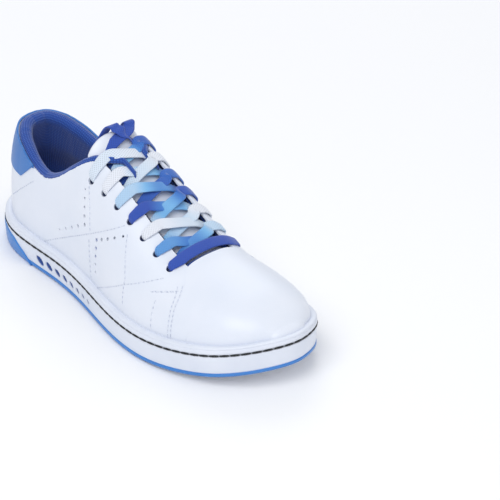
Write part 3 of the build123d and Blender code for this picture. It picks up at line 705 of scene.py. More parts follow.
def vent_holes():
    """Place along, height and width of every vent hole."""
    holes = []
    for x, z, width, arms in VENT_CORNERS:
        holes.append((x, z, width))
        for step_x, step_z, narrower in arms:
            for k in range(1, vents_in_arm + 1):
                holes.append((x + k * step_x, z + k * step_z, width - k * narrower))
    return np.array(holes)


# Decorative seams: the places that each runs through, along and up, and whether it is a double row. The last
# follows the front edge.
front_levels = np.linspace(50, 22, 12)
SEAMS = (
    ([(-74, 21), (10, 69)], False),
    ([(-14, 16), (30, 41), (52, 51)], False),
    ([(-28, 83), (-22, 70), (-18, 56)], False),
    ([(-18, 48), (-14, 25)], False),
    ([(16, 65), (28, 44), (30, 29)], False),
    ([(54, 45), (66, 48)], True),
    ([(57, 40), (59, 26)], False),
    ([(-85, 60), (-113, 37)], False),
    (np.column_stack([np.interp(front_levels, *front_curve) - seam_margin, front_levels]), True),
)
white_thread = new_thread("white_polyester_thread", "#C2C9DA", "#DFE4EF")


def seam_rows(side):
    """Lines on one quarter for its seams, each just proud of the leather."""
    rows = []
    for places, double in SEAMS:
        known = np.array(places, dtype=float)
        walked = np.concatenate([[0], np.cumsum(np.linalg.norm(np.diff(known, axis=0), axis=1))])
        t = np.linspace(0, walked[-1], 90)
        x, z = np.interp(t, walked, known[:, 0]), np.interp(t, walked, known[:, 1])
        for shift in ((0.0, seam_gap) if double else (0.0,)):
            line, out = on_side(x - shift, z - shift * 0.4, side)
            rows.append((line + out * 0.12, out))
    return rows


for side, name in ((-1, "quarter_lateral"), (1, "quarter_medial")):
    quarter = build(name + "_leather", side_panel(side), faces_out=side < 0)
    settle(quarter, [wall(leather), soft_edge(0.45)])
    vents = vent_holes()
    vent_place, vent_out = on_side(vents[:, 0], vents[:, 1], side)
    x = np.linspace(eyelet_first, eyelet_last, eyelet_rows)
    hole_place, hole_out = on_upper(x, throat_middle(x) + side * (throat_half(x, side) + eyelet_edge), np.zeros(7))
    punches = grow(
        name + "_punches", HOLE_PUNCHES, [(vent_place, vent_out), (hole_place, hole_out)], {"Reach": 9 * mm},
        [("size", np.concatenate([vents[:, 2], np.full(eyelet_rows, eyelet_bore)]) * mm)],
    )
    settle(quarter, [("BOOLEAN", {"object": punches, "operation": "DIFFERENCE", "solver": "EXACT"})])
    bpy.data.objects.remove(punches)
    finish_piece(quarter, coated_leather, stands_for=(name,))
    stitches = grow(
        name + "_stitches", THREAD_STITCHES, seam_rows(side),
        {
            "Pitch": 3.1 * mm, "Stitch Length": 2.5 * mm, "Stitch Width": 0.75 * mm, "Stitch Height": 0.5 * mm,
            "Thread": white_thread,
        },
    )
    finish_piece(stitches, white_thread)


# ---------------------------------------------------------------------------------------------------------------
# Vamp: one piece of the same leather over the toes, cut straight across the throat and tucked under the
# quarters' front edges at its two sides.
def vamp_table(sections=260, steps=170):
    """Sections over the toes: upright ones, then a fan that turns forward about a line across the shoe."""
    hub, rear = along(0.815), along(0.66)
    w = np.linspace(0, 1, sections)
    x = rear + np.clip(w / 0.5, 0, 1) * (hub - rear)
    lean = np.clip((w - 0.5) / 0.5, 0, 1) * pi / 2
    turn = np.linspace(0, pi, steps)
    way = np.stack(
        [
            np.outer(np.sin(lean), np.sin(turn)),
            np.outer(np.ones(sections), np.cos(turn)),
            np.outer(np.cos(lean), np.sin(turn)),
        ],
        -1,
    )
    tip_level = lip_height - 1.5 + rise(along(0.97))
    level = lip_height - 1.5 + rise(x)
    level = level + (tip_level - level) * np.sin(lean)
    start = np.stack([x, crown_y(x), level], -1)[:, None, :]
    fan = shoot(np.broadcast_to(start, way.shape), way)
    last = fan[-1]
    flat = last - np.array([hub, crown_y(hub), 0.0])
    flat[:, 2] = 0
    flat /= np.linalg.norm(flat, axis=1)[:, None]
    skirts = []
    for t in np.linspace(0.08, 1, 14):
        foot = lip_height - 1.3 + rise(last[:, 0])
        level = last[:, 2] + (np.minimum(foot, last[:, 2]) - last[:, 2]) * t
        origin = np.column_stack([np.full(steps, hub), np.full(steps, float(crown_y(hub))), level])
        skirts.append(shoot(origin, flat))
    return np.concatenate([fan, np.array(skirts)])


def vamp_panel(columns=150, tuck=0.0):
    table = vamp_table()
    sections, steps = table.shape[:2]
    place = np.arange(sections)
    fitted = np.zeros((columns, steps, 3))
    for j in range(steps):
        over = table[:, j, 0] - (np.interp(table[:, j, 2], *front_curve) - tuck)
        first = max(int(np.argmax(over > 0)), 1)
        exact = first - over[first] / max(over[first] - over[first - 1], 1e-6)
        for i in range(3):
            ending = np.arange(sections - 14, sections)
            spread = np.concatenate([np.linspace(exact, sections - 15, columns - 14), ending])
            fitted[:, j, i] = np.interp(spread, place, table[:, j, i])
    sides = np.concatenate(
        [fitted[:, :1] - np.array([0, 0, 4.0]), fitted, fitted[:, -1:] - np.array([0, 0, 4.0])], axis=1
    )
    return np.concatenate([sides, sides[-1:] - np.array([0, 0, 4.0])], axis=0)


vamp_points = vamp_panel(tuck=1.0)
vamp_points = vamp_points - normals(vamp_points) * 1.2
vamp_piece = build("vamp_leather", vamp_points)
settle(vamp_piece, [wall(leather), soft_edge(0.4)])
finish_piece(vamp_piece, coated_leather, stands_for=("vamp",))


# ---------------------------------------------------------------------------------------------------------------
# Heel tab: a blue leather patch sewn over the top of the heel seam, its lower corners cut at a slant.
def solid_strip(table, low, high, rows):
    """The part of each rib between two heights, in even steps."""
    strip = []
    for line, bottom, top in zip(table, low, high):
        walked = np.concatenate([[0], np.cumsum(np.linalg.norm(np.diff(line, axis=0), axis=1))])
        start, stop = np.interp([bottom, top], line[:, 2], walked)
        even = np.linspace(start, stop, rows)
        strip.append(np.stack([np.interp(even, walked, line[:, i]) for i in range(3)], -1))
    return np.array(strip)


def both_sides(make, u):
    """Ribs from the lateral side, round the back of the heel, to the medial side."""
    return np.concatenate([make(u[::-1], -1), make(u[1:], 1)])


def collar_height(lines):
    """Height at which each rib meets the collar's top line."""
    tops = []
    for line in lines:
        over = line[:, 2] - np.interp(line[:, 0], *collar_curve)
        k = int(np.argmax(over > 0)) if (over > 0).any() else len(line) - 1
        tops.append(line[k, 2])
    tops = np.array(tops)
    for _ in range(6):
        tops[1:-1] = (tops[:-2] + 2 * tops[1:-1] + tops[2:]) / 4
    return tops


tab_reach = np.linspace(0, 0.245, 90)
tab_lines = both_sides(ribs, tab_reach)
tab_tops = collar_height(tab_lines) + 0.3
away = np.abs(np.linspace(-1, 1, len(tab_lines)))
tab_low = 57.5 + 14.0 * np.clip((away - 0.72) / 0.28, 0, 1)
tab_points = solid_strip(tab_lines, tab_low, tab_tops, 34)
tab_points += normals(tab_points) * 0.75
heel_tab = build("heel_tab_leather", tab_points, faces_out=False)
settle(heel_tab, [wall(1.3), soft_edge(0.35)])

tab_leather, tree, surface = new_material("blue_coated_leather")
# The same coated leather in blue, with a slightly glossier grain.
place = node(tree, "ShaderNodeTexCoord").outputs["Object"]
pebble = node(tree, "ShaderNodeTexVoronoi", {"feature": "SMOOTH_F1"}, Vector=place, Scale=1200.0)
cloud = node(tree, "ShaderNodeTexNoise", Vector=place, Scale=60.0, Detail=3.0)
two_tone(tree, surface, cloud.outputs["Fac"], "#2C69B4", "#3D7EC8")
emboss(tree, surface, pebble.outputs["Distance"], 0.3, 0.0002)
surface.inputs["Roughness"].default_value = 0.42
finish_piece(heel_tab, tab_leather, body="rearfoot", stands_for=("heel_tab",))


# ---------------------------------------------------------------------------------------------------------------
# Collar: foam padding rolled over the top line under a blue knitted lining, which is glued down inside the heel.
collar_u = np.concatenate([np.linspace(0, 0.18, 60)[:-1], np.linspace(0.18, 0.605, 120)])
collar_lines = both_sides(ribs, collar_u)
collar_tops = collar_height(collar_lines)
rim = solid_strip(collar_lines, collar_tops - 0.6, collar_tops - 0.5, 2)[:, 1]
rim_out = normals(rim)
flat_out = rim_out * np.array([1, 1, 0])
flat_out /= np.linalg.norm(flat_out, axis=1)[:, None]
length_along = np.abs(np.linspace(-1, 1, len(rim)))
padding = 8.0 - 3.6 * np.clip((length_along - 0.3) / 0.45, 0, 1)
# the roll's section: how far in, as a share of the padding, and how far up from the leather's top edge
ROLL_SECTION = (
    (0.14, -1.6), (0.14, -0.3), (0.22, 0.75), (0.38, 1.5), (0.56, 1.65), (0.75, 1.2), (0.9, 0.1), (1.0, -1.8),
)
roll = []
for inward, up in ROLL_SECTION:
    lift = np.zeros_like(rim)
    lift[:, 2] = up
    roll.append(rim - flat_out * (padding * inward + 0.9)[:, None] + lift)
inside_top = rim[:, 2] - 1.8
lower_end, glued_depth, knit = 19.0, 4.4, 0.9
for t in np.linspace(0.06, 1, 40):
    level = inside_top + (lower_end - inside_top) * t
    fade = np.clip((t - 0.3) / 0.35, 0, 1)
    deep = glued_depth + (padding + knit - glued_depth) * (1 - fade**2 * (3 - 2 * fade))
    outer_line = np.stack(
        [[np.interp(z, line[:, 2], line[:, i]) for i in range(3)] for line, z in zip(collar_lines, level)]
    )
    roll.append(outer_line - flat_out * deep[:, None])
collar_grid = np.stack(roll, 1)
collar = build("collar_lining_knit", collar_grid, faces_out=False)
settle(collar, [wall(-0.9)])

lining_knit, tree, surface = new_material("blue_spacer_knit")
# Knitted polyester spacer fabric: rows of small raised loops 1.3 mm apart, matt, with a soft sheen.
cloth = node(tree, "ShaderNodeUVMap", {"uv_map": "cloth"}).outputs["UV"]
across = node(tree, "ShaderNodeTexWave", {"bands_direction": "X"}, Vector=cloth, Scale=240.0, Distortion=0.6)
down = node(tree, "ShaderNodeTexWave", {"bands_direction": "Y"}, Vector=cloth, Scale=240.0, Distortion=0.6)
loops = node(tree, "ShaderNodeMath", {"operation": "MULTIPLY"}, i0=across.outputs["Fac"], i1=down.outputs["Fac"])
two_tone(tree, surface, loops.outputs[0], "#173F93", "#3268C4")
emboss(tree, surface, loops.outputs[0], 0.6, 0.0005)
surface.inputs["Roughness"].default_value = 0.85
surface.inputs["Sheen Weight"].default_value = 0.35
finish_piece(collar, lining_knit, body="rearfoot", stands_for=("collar_lining", "collar_foam"))

# Quarter lining: the same knit, glued to the inside of the quarters from the collar down to the board.
for side, name in ((-1, "quarter_lining_lateral"), (1, "quarter_lining_medial")):
    inner = side_panel(side, rows=40, columns=150, inset=2.0, drop=3.0)
    inner = inner[int(150 * 0.42):]
    inner = inner - normals(inner) * 3.2
    lining_piece = build(name, inner, faces_out=side < 0)
    settle(lining_piece, [wall(0.9)])
    finish_piece(lining_piece, lining_knit, stands_for=("quarter_lining",) if side < 0 else ())

# Vamp lining, 3 mm under the vamp's outside.
inner_vamp = vamp_panel(columns=90, tuck=4.0)[:, ::2]
inner_vamp = inner_vamp - normals(inner_vamp) * 3.4
vamp_lining = build("vamp_lining_knit", inner_vamp)
settle(vamp_lining, [wall(0.9)])
finish_piece(vamp_lining, lining_knit, stands_for=("vamp_lining",))


# ---------------------------------------------------------------------------------------------------------------
# Inside of the sole, from the bottom up: the blue foam core that fills the cup, the fibre board sewn to the
# upper's lower edge, and a loose cupped foam footbed with a knitted blue top.
def floor_grid(inset, low_share, high_share, rows=160, columns=60):
    """Points across the sole between two shares of its length, moved in from its edge."""
    ring = edge - edge_out * inset
    half = len(ring) // 2
    lateral, medial = ring[:half], ring[half:][::-1]
    x = np.linspace(max(lateral[:, 0].min(), along(low_share)), min(lateral[:, 0].max(), along(high_share)), rows)
    y_low = np.interp(x, lateral[:, 0], lateral[:, 1])
    y_high = np.interp(x, medial[:, 0], medial[:, 1])
    t = np.linspace(0, 1, columns)
    return np.stack(
        [np.repeat(x[:, None], columns, 1), y_low[:, None] + (y_high - y_low)[:, None] * t, np.zeros((rows, columns))],
        -1,
    )


def slab(name, inset, top, thickness, rounding):
    """A flat-topped layer of the sole that follows the sprung floor."""
    grid = floor_grid(inset, 0.0, 1.0)
    grid[..., 2] = top + rise(grid[..., 0])
    return settle(build(name, grid, faces_out=True), [wall(thickness), soft_edge(rounding)])


sole_foam, tree, surface = new_material("blue_eva_foam")
# Moulded closed-cell foam: cells about 0.6 mm across, matt.
place = node(tree, "ShaderNodeTexCoord").outputs["Object"]
cells = node(tree, "ShaderNodeTexVoronoi", {"feature": "SMOOTH_F1"}, Vector=place, Scale=1600.0)
two_tone(tree, surface, cells.outputs["Distance"], "#1E428A", "#2F5BAA")
surface.inputs["Roughness"].default_value = 0.9
finish_piece(slab("midsole_foam", 6.2, 13.0, 7.2, 0.8), sole_foam, stands_for=("midsole_core",))

lasting_board, tree, surface = new_material("strobel_fibre_board")
# Bonded fibre board sewn to the upper's lower edge: matt off-white with loose fibres.
place = node(tree, "ShaderNodeTexCoord").outputs["Object"]
fibres = node(tree, "ShaderNodeTexNoise", Vector=place, Scale=1100.0, Detail=5.0, Distortion=2.0)
two_tone(tree, surface, fibres.outputs["Fac"], "#C9C5BB", "#E0DCD2")
surface.inputs["Roughness"].default_value = 0.95
finish_piece(slab("lasting_board", 6.4, 14.6, 1.5, 0.3), lasting_board, stands_for=("strobel_board",))

footbed = floor_grid(8.4, 0.0, 1.0)
side_place = np.abs(np.linspace(-1, 1, footbed.shape[1]))
footbed[..., 2] = 19.5 + rise(footbed[..., 0]) + 2.2 * side_place**4
footbed_piece = build("insole_footbed", footbed, faces_out=True)
settle(footbed_piece, [wall(4.0), soft_edge(1.0)])
finish_piece(footbed_piece, lining_knit, stands_for=("insole",))


# ---------------------------------------------------------------------------------------------------------------
# Tongue: a padded tongue of the same white leather over foam, its top end free above the collar.
tongue_rear, tongue_front = along(0.362), along(0.735)
tongue_x = np.linspace(tongue_front, tongue_rear, 110)
around_tongue = np.linspace(0, 2 * pi, 72, endpoint=False)
rings = []
for k, x in enumerate(tongue_x):
    t = (x - tongue_rear) / (tongue_front - tongue_rear)
    from_end = x - tongue_rear
    half = 23.5 + 3.0 * sin(pi * min(1.0, 1.15 * (1 - t)))
    close = np.sqrt(np.clip(1 - (1 - min(from_end / 6.0, 1.0)) ** 2, 0.02, 1))
    half *= 0.86 + 0.14 * close
    thick = 2.6 * (0.35 + 0.65 * close)
    across = np.sign(np.cos(around_tongue)) * np.abs(np.cos(around_tongue)) ** 0.55
    swell = np.sign(np.sin(around_tongue)) * np.abs(np.sin(around_tongue)) ** 0.8
    lift = 6.0 * max(0.0, 1 - from_end / 20.0) ** 1.6
    base, out = on_upper(x, throat_middle(x) + half * across, np.full(across.shape, 8.3 - lift))
    rings.append(base + out * (thick * swell)[:, None])
tongue_grid = np.array(rings)
cap = tongue_grid[-1].mean(axis=0)
end_rings = [
    tongue_grid[-1] + (cap - tongue_grid[-1]) * t - np.array([1.1 * sin(t * pi / 2), 0, 0])
    for t in (0.2, 0.5, 0.8, 1.0)
]
front_cap = tongue_grid[0].mean(axis=0)
tongue_grid = np.concatenate([np.broadcast_to(front_cap, (1, 72, 3)), tongue_grid, np.array(end_rings)])
tongue = build("tongue_leather", tongue_grid, closed_columns=True, faces_out=True)
finish_piece(
    weld(tongue), coated_leather, body="tongue",
    stands_for=("tongue_face", "tongue_foam", "tongue_lining"),
)


# ---------------------------------------------------------------------------------------------------------------
# Lace: one flat woven lace, 7.8 mm wide, dyed from dark blue to white and back along its length. It comes out from
# under one facing, crosses the tongue, passes over the other facing and goes down through its eyelet.
eyelet_pitch = (eyelet_first - eyelet_last) / (eyelet_rows - 1)
LATERAL_SHADES = (0.0, 0.75, 1.0, 0.05, 0.7, 1.0, 0.9, 0.0, 0.0)
MEDIAL_SHADES = (0.0, 0.4, 1.0, 0.0, 0.15, 1.0, 0.1, 0.0, 0.0)


def lace_route(start_side, shades):
    """Control points of one half: place, outward direction, width share and shade."""
    route = []
    lengthwise, sideways = (0.9, 0.0, -0.42), (0.0, -start_side, 0.0)

    def point(x, y, depth, width, shade, across=lengthwise):
        place, _ = on_upper(x, y, np.array(depth))
        route.append((*place, *across, width, shade))

    side = start_side
    high = 0.4 if start_side < 0 else 2.2
    x = eyelet_first
    point(x, throat_middle(x) - side * 3.0, -0.7, 1.0, shades[0])
    point(x, throat_middle(x) + side * 5.0, -0.7, 1.0, shades[0])
    for row in range(eyelet_rows):
        x = eyelet_first - eyelet_pitch * row
        centre, gap, shade, later = throat_middle(x), throat_half(x, side), shades[row], shades[row + 1]
        point(x + (0.8 if row else 0.2), centre + side * (gap - 4), 0.2 if row else -0.8, 1.0, shade)
        point(x + 0.6, centre + side * (gap + 1.0), -1.1, 1.0, shade)
        point(x + 0.3, centre + side * (gap + eyelet_edge * 0.5), -1.1, 0.9, shade)
        point(x, centre + side * (gap + eyelet_edge * 0.8), -1.0, 0.8, shade)
        point(x, centre + side * (gap + eyelet_edge * 0.98), 1.4, 0.52, shade)
        point(x - 0.5, centre + side * (gap + eyelet_edge * 0.85), 3.6, 0.6, shade)
        point(x - 1.5, centre + side * (gap + eyelet_edge * 0.35), 3.8, 0.85, shade)
        if row == eyelet_rows - 1:
            break
        next_x = x - eyelet_pitch
        point(x * 0.78 + next_x * 0.22, centre + side * (gap - 2.5), 3.6, 1.0, shade * 0.75 + later * 0.25)
        point(x * 0.64 + next_x * 0.36, centre + side * gap * 0.45, (3.4 + high) / 2, 1.0, (shade + later) / 2)
        point((x + next_x) / 2, throat_middle((x + next_x) / 2), high, 1.0, (shade + later) / 2)
        point(x * 0.3 + next_x * 0.7, centre - side * gap * 0.5, high - 0.9, 1.0, shade * 0.2 + later * 0.8)
        side = -side
    # The tail crosses the top of the tongue, goes over its end and hangs down behind it to the tip.
    if start_side < 0:
        tail = (
            (3.0, -9.0, 3.0, 0), (5.0, 0.0, 0.6, 0), (7.0, 8.0, -0.6, 0), (9.5, 11.5, -1.2, 1), (12.0, 12.5, -2.6, 1),
        )
    else:
        tail = (
            (3.0, 10.0, 3.0, 0), (5.0, 6.5, 0.2, 0), (7.5, 3.5, -2.2, 1), (10.0, 1.5, -2.4, 1), (12.0, 0.5, -2.8, 1),
        )
    for back, off, depth, turned in tail:
        point(x - back, throat_middle(x) + off, depth, 1.0, 0.0, sideways if turned else lengthwise)
    top = np.array(route[-1][:3])
    end_y = throat_middle(along(0.36)) - start_side * 12.0
    for t, back, down in ((0.1, 3.0, 1.5), (0.25, 5.0, 6.0), (0.6, 6.5, 14.0), (0.9, 7.0, 22.0), (1.0, 7.3, 29.0)):
        place = top + np.array([-back, (end_y - top[1]) * t, -down])
        route.append((*place, *sideways, 1.0 - 0.5 * t, 0.0))
    return np.array(route)


def spline_through(points, steps=9):
    """A Catmull-Rom curve through control rows."""
    padded_rows = np.concatenate([points[:1] * 2 - points[1:2], points, points[-1:] * 2 - points[-2:-1]])
    t = np.linspace(0, 1, steps, endpoint=False)[:, None]
    pieces = []
    for a, b, c, d in zip(padded_rows, padded_rows[1:], padded_rows[2:], padded_rows[3:]):
        pieces.append(0.5 * (2 * b + (c - a) * t + (2 * a - 5 * b + 4 * c - d) * t**2 + (3 * b - a - 3 * c + d) * t**3))
    return np.concatenate([*pieces, points[-1:]])


def ribbon(rows, width, thickness, sides=14):
    """A flat band with rounded edges along a curve of places, directions, widths and shades."""
    place, width_way, share, shade = rows[:, :3], rows[:, 3:6], rows[:, 6], rows[:, 7]
    run = np.gradient(place, axis=0)
    run /= np.linalg.norm(run, axis=1)[:, None]
    across = width_way - np.sum(run * width_way, axis=1)[:, None] * run
    across /= np.linalg.norm(across, axis=1)[:, None]
    for _ in range(6):
        across[1:-1] = (across[:-2] + across[1:-1] * 2 + across[2:]) / 4
    across -= np.sum(across * run, axis=1)[:, None] * run
    across /= np.linalg.norm(across, axis=1)[:, None]
    face = np.cross(run, across)
    turn = np.linspace(0, 2 * pi, sides, endpoint=False)
    x = np.sign(np.cos(turn)) * np.abs(np.cos(turn)) ** 0.5
    y = np.sign(np.sin(turn)) * np.abs(np.sin(turn)) ** 0.7
    bunch = 1 + 0.9 * (1 - share)
    return (
        place[:, None]
        + across[:, None] * (x * width / 2)[None, :, None] * share[:, None, None]
        + face[:, None] * (y * thickness / 2)[None, :, None] * bunch[:, None, None]
    ), shade


lace_cloth, tree, surface = new_material("woven_polyester_lace")
# Flat woven polyester: a herringbone of ribs 0.8 mm apart, drawn a little coarser than the real yarn so it shows.
cloth = node(tree, "ShaderNodeUVMap", {"uv_map": "cloth"}).outputs["UV"]
ribs_one = node(
    tree, "ShaderNodeTexWave", {"bands_direction": "DIAGONAL"}, Vector=cloth, Scale=330.0, Distortion=0.4
)
flip = node(tree, "ShaderNodeMapping", Vector=cloth, Scale=(1.0, -1.0, 1.0))
ribs_two = node(
    tree, "ShaderNodeTexWave", {"bands_direction": "DIAGONAL"}, Vector=flip.outputs["Vector"], Scale=330.0,
    Distortion=0.4,
)
weave = node(tree, "ShaderNodeMath", {"operation": "MAXIMUM"}, i0=ribs_one.outputs["Fac"], i1=ribs_two.outputs["Fac"])
dye = node(tree, "ShaderNodeAttribute", {"attribute_name": "shade"})
ramp = node(tree, "ShaderNodeValToRGB", Fac=dye.outputs["Fac"])
ramp.color_ramp.elements[0].color = linear("#2A50B2")
ramp.color_ramp.elements[1].color = linear("#EAEEF7")
for position, colour in ((0.3, "#3F7FD0"), (0.55, "#7DBBEC"), (0.8, "#CFE3F5")):
    ramp.color_ramp.elements.new(position).color = linear(colour)
dark = node(
    tree, "ShaderNodeMix", {"data_type": "RGBA", "blend_type": "MULTIPLY"}, i0=0.28, i6=ramp.outputs["Color"],
    i7=weave.outputs[0],
)
tree.links.new(dark.outputs[2], surface.inputs["Base Color"])
emboss(tree, surface, weave.outputs[0], 0.5, 0.0003)
surface.inputs["Roughness"].default_value = 0.8
surface.inputs["Sheen Weight"].default_value = 0.3

for start_side, shades, name in ((-1, LATERAL_SHADES, "lace_first_half"), (1, MEDIAL_SHADES, "lace_second_half")):
    band, shade = ribbon(spline_through(lace_route(start_side, shades)), 7.8, 1.25)
    closed = np.concatenate([band[:1].mean(axis=1, keepdims=True).repeat(band.shape[1], 1), band,
                             band[-1:].mean(axis=1, keepdims=True).repeat(band.shape[1], 1)])
    lace = build(name, closed, closed_columns=True, faces_out=False)
    values = np.concatenate([shade[:1], shade, shade[-1:]])
    layer = lace.data.attributes.new("shade", "FLOAT", "POINT")
    layer.data.foreach_set("value", np.repeat(values, band.shape[1]))
    finish_piece(
        weld(lace), lace_cloth, body="rearfoot",
        stands_for=("lace",) if start_side < 0 else (),
    )


# ---------------------------------------------------------------------------------------------------------------
# Heel wedge and edge band: the blue tread rubber carried up the outside of the heel, and the thin blue line
# around the bottom of the cup.
def outline_run(low, high, count):
    """Places around the sole's edge as positions along the ring; 0 is the heel, negative is the medial side."""
    where = np.linspace(low, high, count)
    index = (where % 1.0) * len(edge)
    ring = np.concatenate([edge, edge[:1]])
    ring_out = np.concatenate([edge_out, edge_out[:1]])
    places = np.arange(len(ring))
    return (
        where,
        np.stack([np.interp(index, places, ring[:, i]) for i in (0, 1)], 1),
        np.stack([np.interp(index, places, ring_out[:, i]) for i in (0, 1)], 1),
    )


tread_rubber, tree, surface = new_material("moulded_blue_rubber")
# Glossy moulded rubber, with painted shade: darker blue down in the pockets than on the raised ridges.
place = node(tree, "ShaderNodeTexCoord").outputs["Object"]
height = node(tree, "ShaderNodeAttribute", {"attribute_name": "pocket"})
cloud = node(tree, "ShaderNodeTexNoise", Vector=place, Scale=90.0, Detail=2.0)
# painted shade: the pocket mask mixes the blue from light on the ridges to dark down in the pockets
deep = node(
    tree, "ShaderNodeMix", {"data_type": "RGBA"}, i0=height.outputs["Fac"], i6=linear("#45B8EA"), i7=linear("#0A4A86")
)
tint = node(
    tree, "ShaderNodeMix", {"data_type": "RGBA", "blend_type": "SOFT_LIGHT"}, i0=0.3, i6=deep.outputs[2],
    i7=cloud.outputs["Color"],
)
tree.links.new(tint.outputs[2], surface.inputs["Base Color"])
surface.inputs["Roughness"].default_value = 0.3

wedge_rubber, tree, surface = new_material("moulded_heel_rubber")
# The wedge's rubber is the same stuff in a deeper blue, with a satin mould finish.
place = node(tree, "ShaderNodeTexCoord").outputs["Object"]
mould = node(tree, "ShaderNodeTexNoise", Vector=place, Scale=2200.0, Detail=3.0)
cloud = node(tree, "ShaderNodeTexNoise", Vector=place, Scale=50.0, Detail=2.0)
two_tone(tree, surface, cloud.outputs["Fac"], "#3577C6", "#4389D2")
emboss(tree, surface, mould.outputs["Fac"], 0.15, 0.0001)
surface.inputs["Roughness"].default_value = 0.36

_, wedge_edge, wedge_out = outline_run(-0.112, 0.112, 260)
front = wedge_edge[:, 0]
wedge_shares = np.array([0.0, 0.08, 0.13, 0.17, 0.2])
wedge_top = np.interp(front, along(wedge_shares), [14.8, 14.6, 12.0, 6.4, 0.9])
# the wedge's section: share of its height, and how far it stands out from the sole's edge
WEDGE_SECTION = (
    (0.0, -2.2), (0.0, -0.6), (0.06, 0.5), (0.25, 0.95), (0.5, 1.25), (0.75, 1.5), (0.94, 1.62), (1.0, 1.3),
    (1.0, 0.2),
)
wedge = []
for t, stand in WEDGE_SECTION:
    level = 0.3 + (wedge_top - 0.3) * t
    flat = wedge_edge + wedge_out * stand
    wedge.append(np.column_stack([flat, rise(flat[:, 0]) + level]))
wedge_piece = build("heel_wedge", np.stack(wedge, 1))
settle(wedge_piece, [wall(0.5)])
finish_piece(wedge_piece, wedge_rubber, body="rearfoot", stands_for=("heel_outsole",))

_, band_edge, band_out = outline_run(0.09, 0.91, 900)
# the band's section: how far it stands out, and its level
BAND_SECTION = (
    (-0.8, 0.75), (0.1, 0.72), (0.55, 1.0), (0.75, 1.5), (0.75, 2.5), (0.6, 3.0), (0.25, 3.25), (-0.8, 3.3),
)
band = []
for stand, level in BAND_SECTION:
    flat = band_edge + band_out * stand
    band.append(np.column_stack([flat, rise(flat[:, 0]) + level]))
band = np.stack(band, 1)
ends = [band[end:end + 1 or None].mean(axis=1, keepdims=True).repeat(band.shape[1], 1) for end in (0, -1)]
band_piece = build("edge_line", np.concatenate([ends[0], band, ends[1]]), closed_columns=True)
finish_piece(weld(band_piece), wedge_rubber, stands_for=("edge_band",))


# ---------------------------------------------------------------------------------------------------------------
# Underside: a grey base, the blue heel tread with a diamond lattice inside a raised border, and the white
# microfibre slide pad with four printed bars, which starts in an arrow that fits the tread's fishtail.
base_grey, tree, surface = new_material("grey_base_rubber")
# Matt grey-beige rubber with a fine speckle.
place = node(tree, "ShaderNodeTexCoord").outputs["Object"]
speckle = node(tree, "ShaderNodeTexNoise", Vector=place, Scale=700.0, Detail=4.0)
two_tone(tree, surface, speckle.outputs["Fac"], "#C3BFB8", "#DAD7D1")
surface.inputs["Roughness"].default_value = 0.7
base = floor_grid(6.5, 0.0, 1.0)
base[..., 2] = 1.1 + rise(base[..., 0])
base_piece = build("sole_base", base, faces_out=False)
settle(base_piece, [wall(3.0)])
finish_piece(base_piece, base_grey)


def shaped_floor(inset, rear_line, front_line_x, rows, columns):
    """Floor points between two lines across the sole, given as x against the place across, -1 to 1."""
    whole = floor_grid(inset, 0.0, 1.0, rows=500, columns=columns)
    t = np.linspace(-1, 1, columns)
    grid = np.zeros((rows, columns, 3))
    for j in range(columns):
        low = rear_line(t[j]) if rear_line else whole[0, j, 0]
        high = front_line_x(t[j]) if front_line_x else whole[-1, j, 0]
        grid[:, j, 0] = np.linspace(low, high, rows)
        grid[:, j, 1] = np.interp(grid[:, j, 0], whole[:, j, 0], whole[:, j, 1])
    return grid


def fishtail(t):
    return along(0.398) + (along(0.482) - along(0.398)) * abs(t) ** 0.95


def arrow(t):
    return along(0.425) + (along(0.53) - along(0.425)) * abs(t)


tread = shaped_floor(5.0, None, fishtail, 330, 136)
ring_near = floor_grid(5.0, 0.0, 1.0, rows=500, columns=3)
half_width = np.interp(tread[..., 0], ring_near[:, 0, 0], (ring_near[:, 2, 1] - ring_near[:, 0, 1]) / 2)
off_side = half_width - np.abs(tread[..., 1] - np.interp(tread[..., 0], ring_near[:, 1, 0], ring_near[:, 1, 1]))
across_place = np.linspace(-1, 1, 136)
off_front = fishtail(across_place)[None, :] - tread[..., 0]
off_heel = tread[..., 0] - along(0.0) - 4.5
border = np.minimum(np.minimum(off_side, off_front * 0.75), off_heel)
cell_x, cell_y = 9.4, 5.8
lean_one = (tread[..., 0] / cell_x + tread[..., 1] / cell_y) % 1.0
lean_two = (tread[..., 0] / cell_x - tread[..., 1] / cell_y) % 1.0
ridge = np.minimum(np.minimum(lean_one, 1 - lean_one), np.minimum(lean_two, 1 - lean_two)) * 2
pocket = np.clip((ridge - 0.16) / 0.26, 0, 1) * np.clip((border - 3.2) / 0.9, 0, 1)
bar = np.abs((tread[..., 0] - along(0.115)) * 0.8 + (tread[..., 1]) * 0.6)
pocket *= np.clip((bar - 3.0) / 0.8, 0, 1)
edge_round = np.clip(1 - border / 0.8, 0, 1) ** 2
tread[..., 2] = pocket * 2.6 + edge_round * 0.9
tread_piece = build("heel_tread", tread, faces_out=False)
layer = tread_piece.data.attributes.new("pocket", "FLOAT", "POINT")
layer.data.foreach_set("value", np.clip(pocket, 0, 1).ravel())
settle(tread_piece, [wall(3.0)])
finish_piece(tread_piece, tread_rubber, body="rearfoot")

pad_nap, tree, surface = new_material("slide_microfibre")
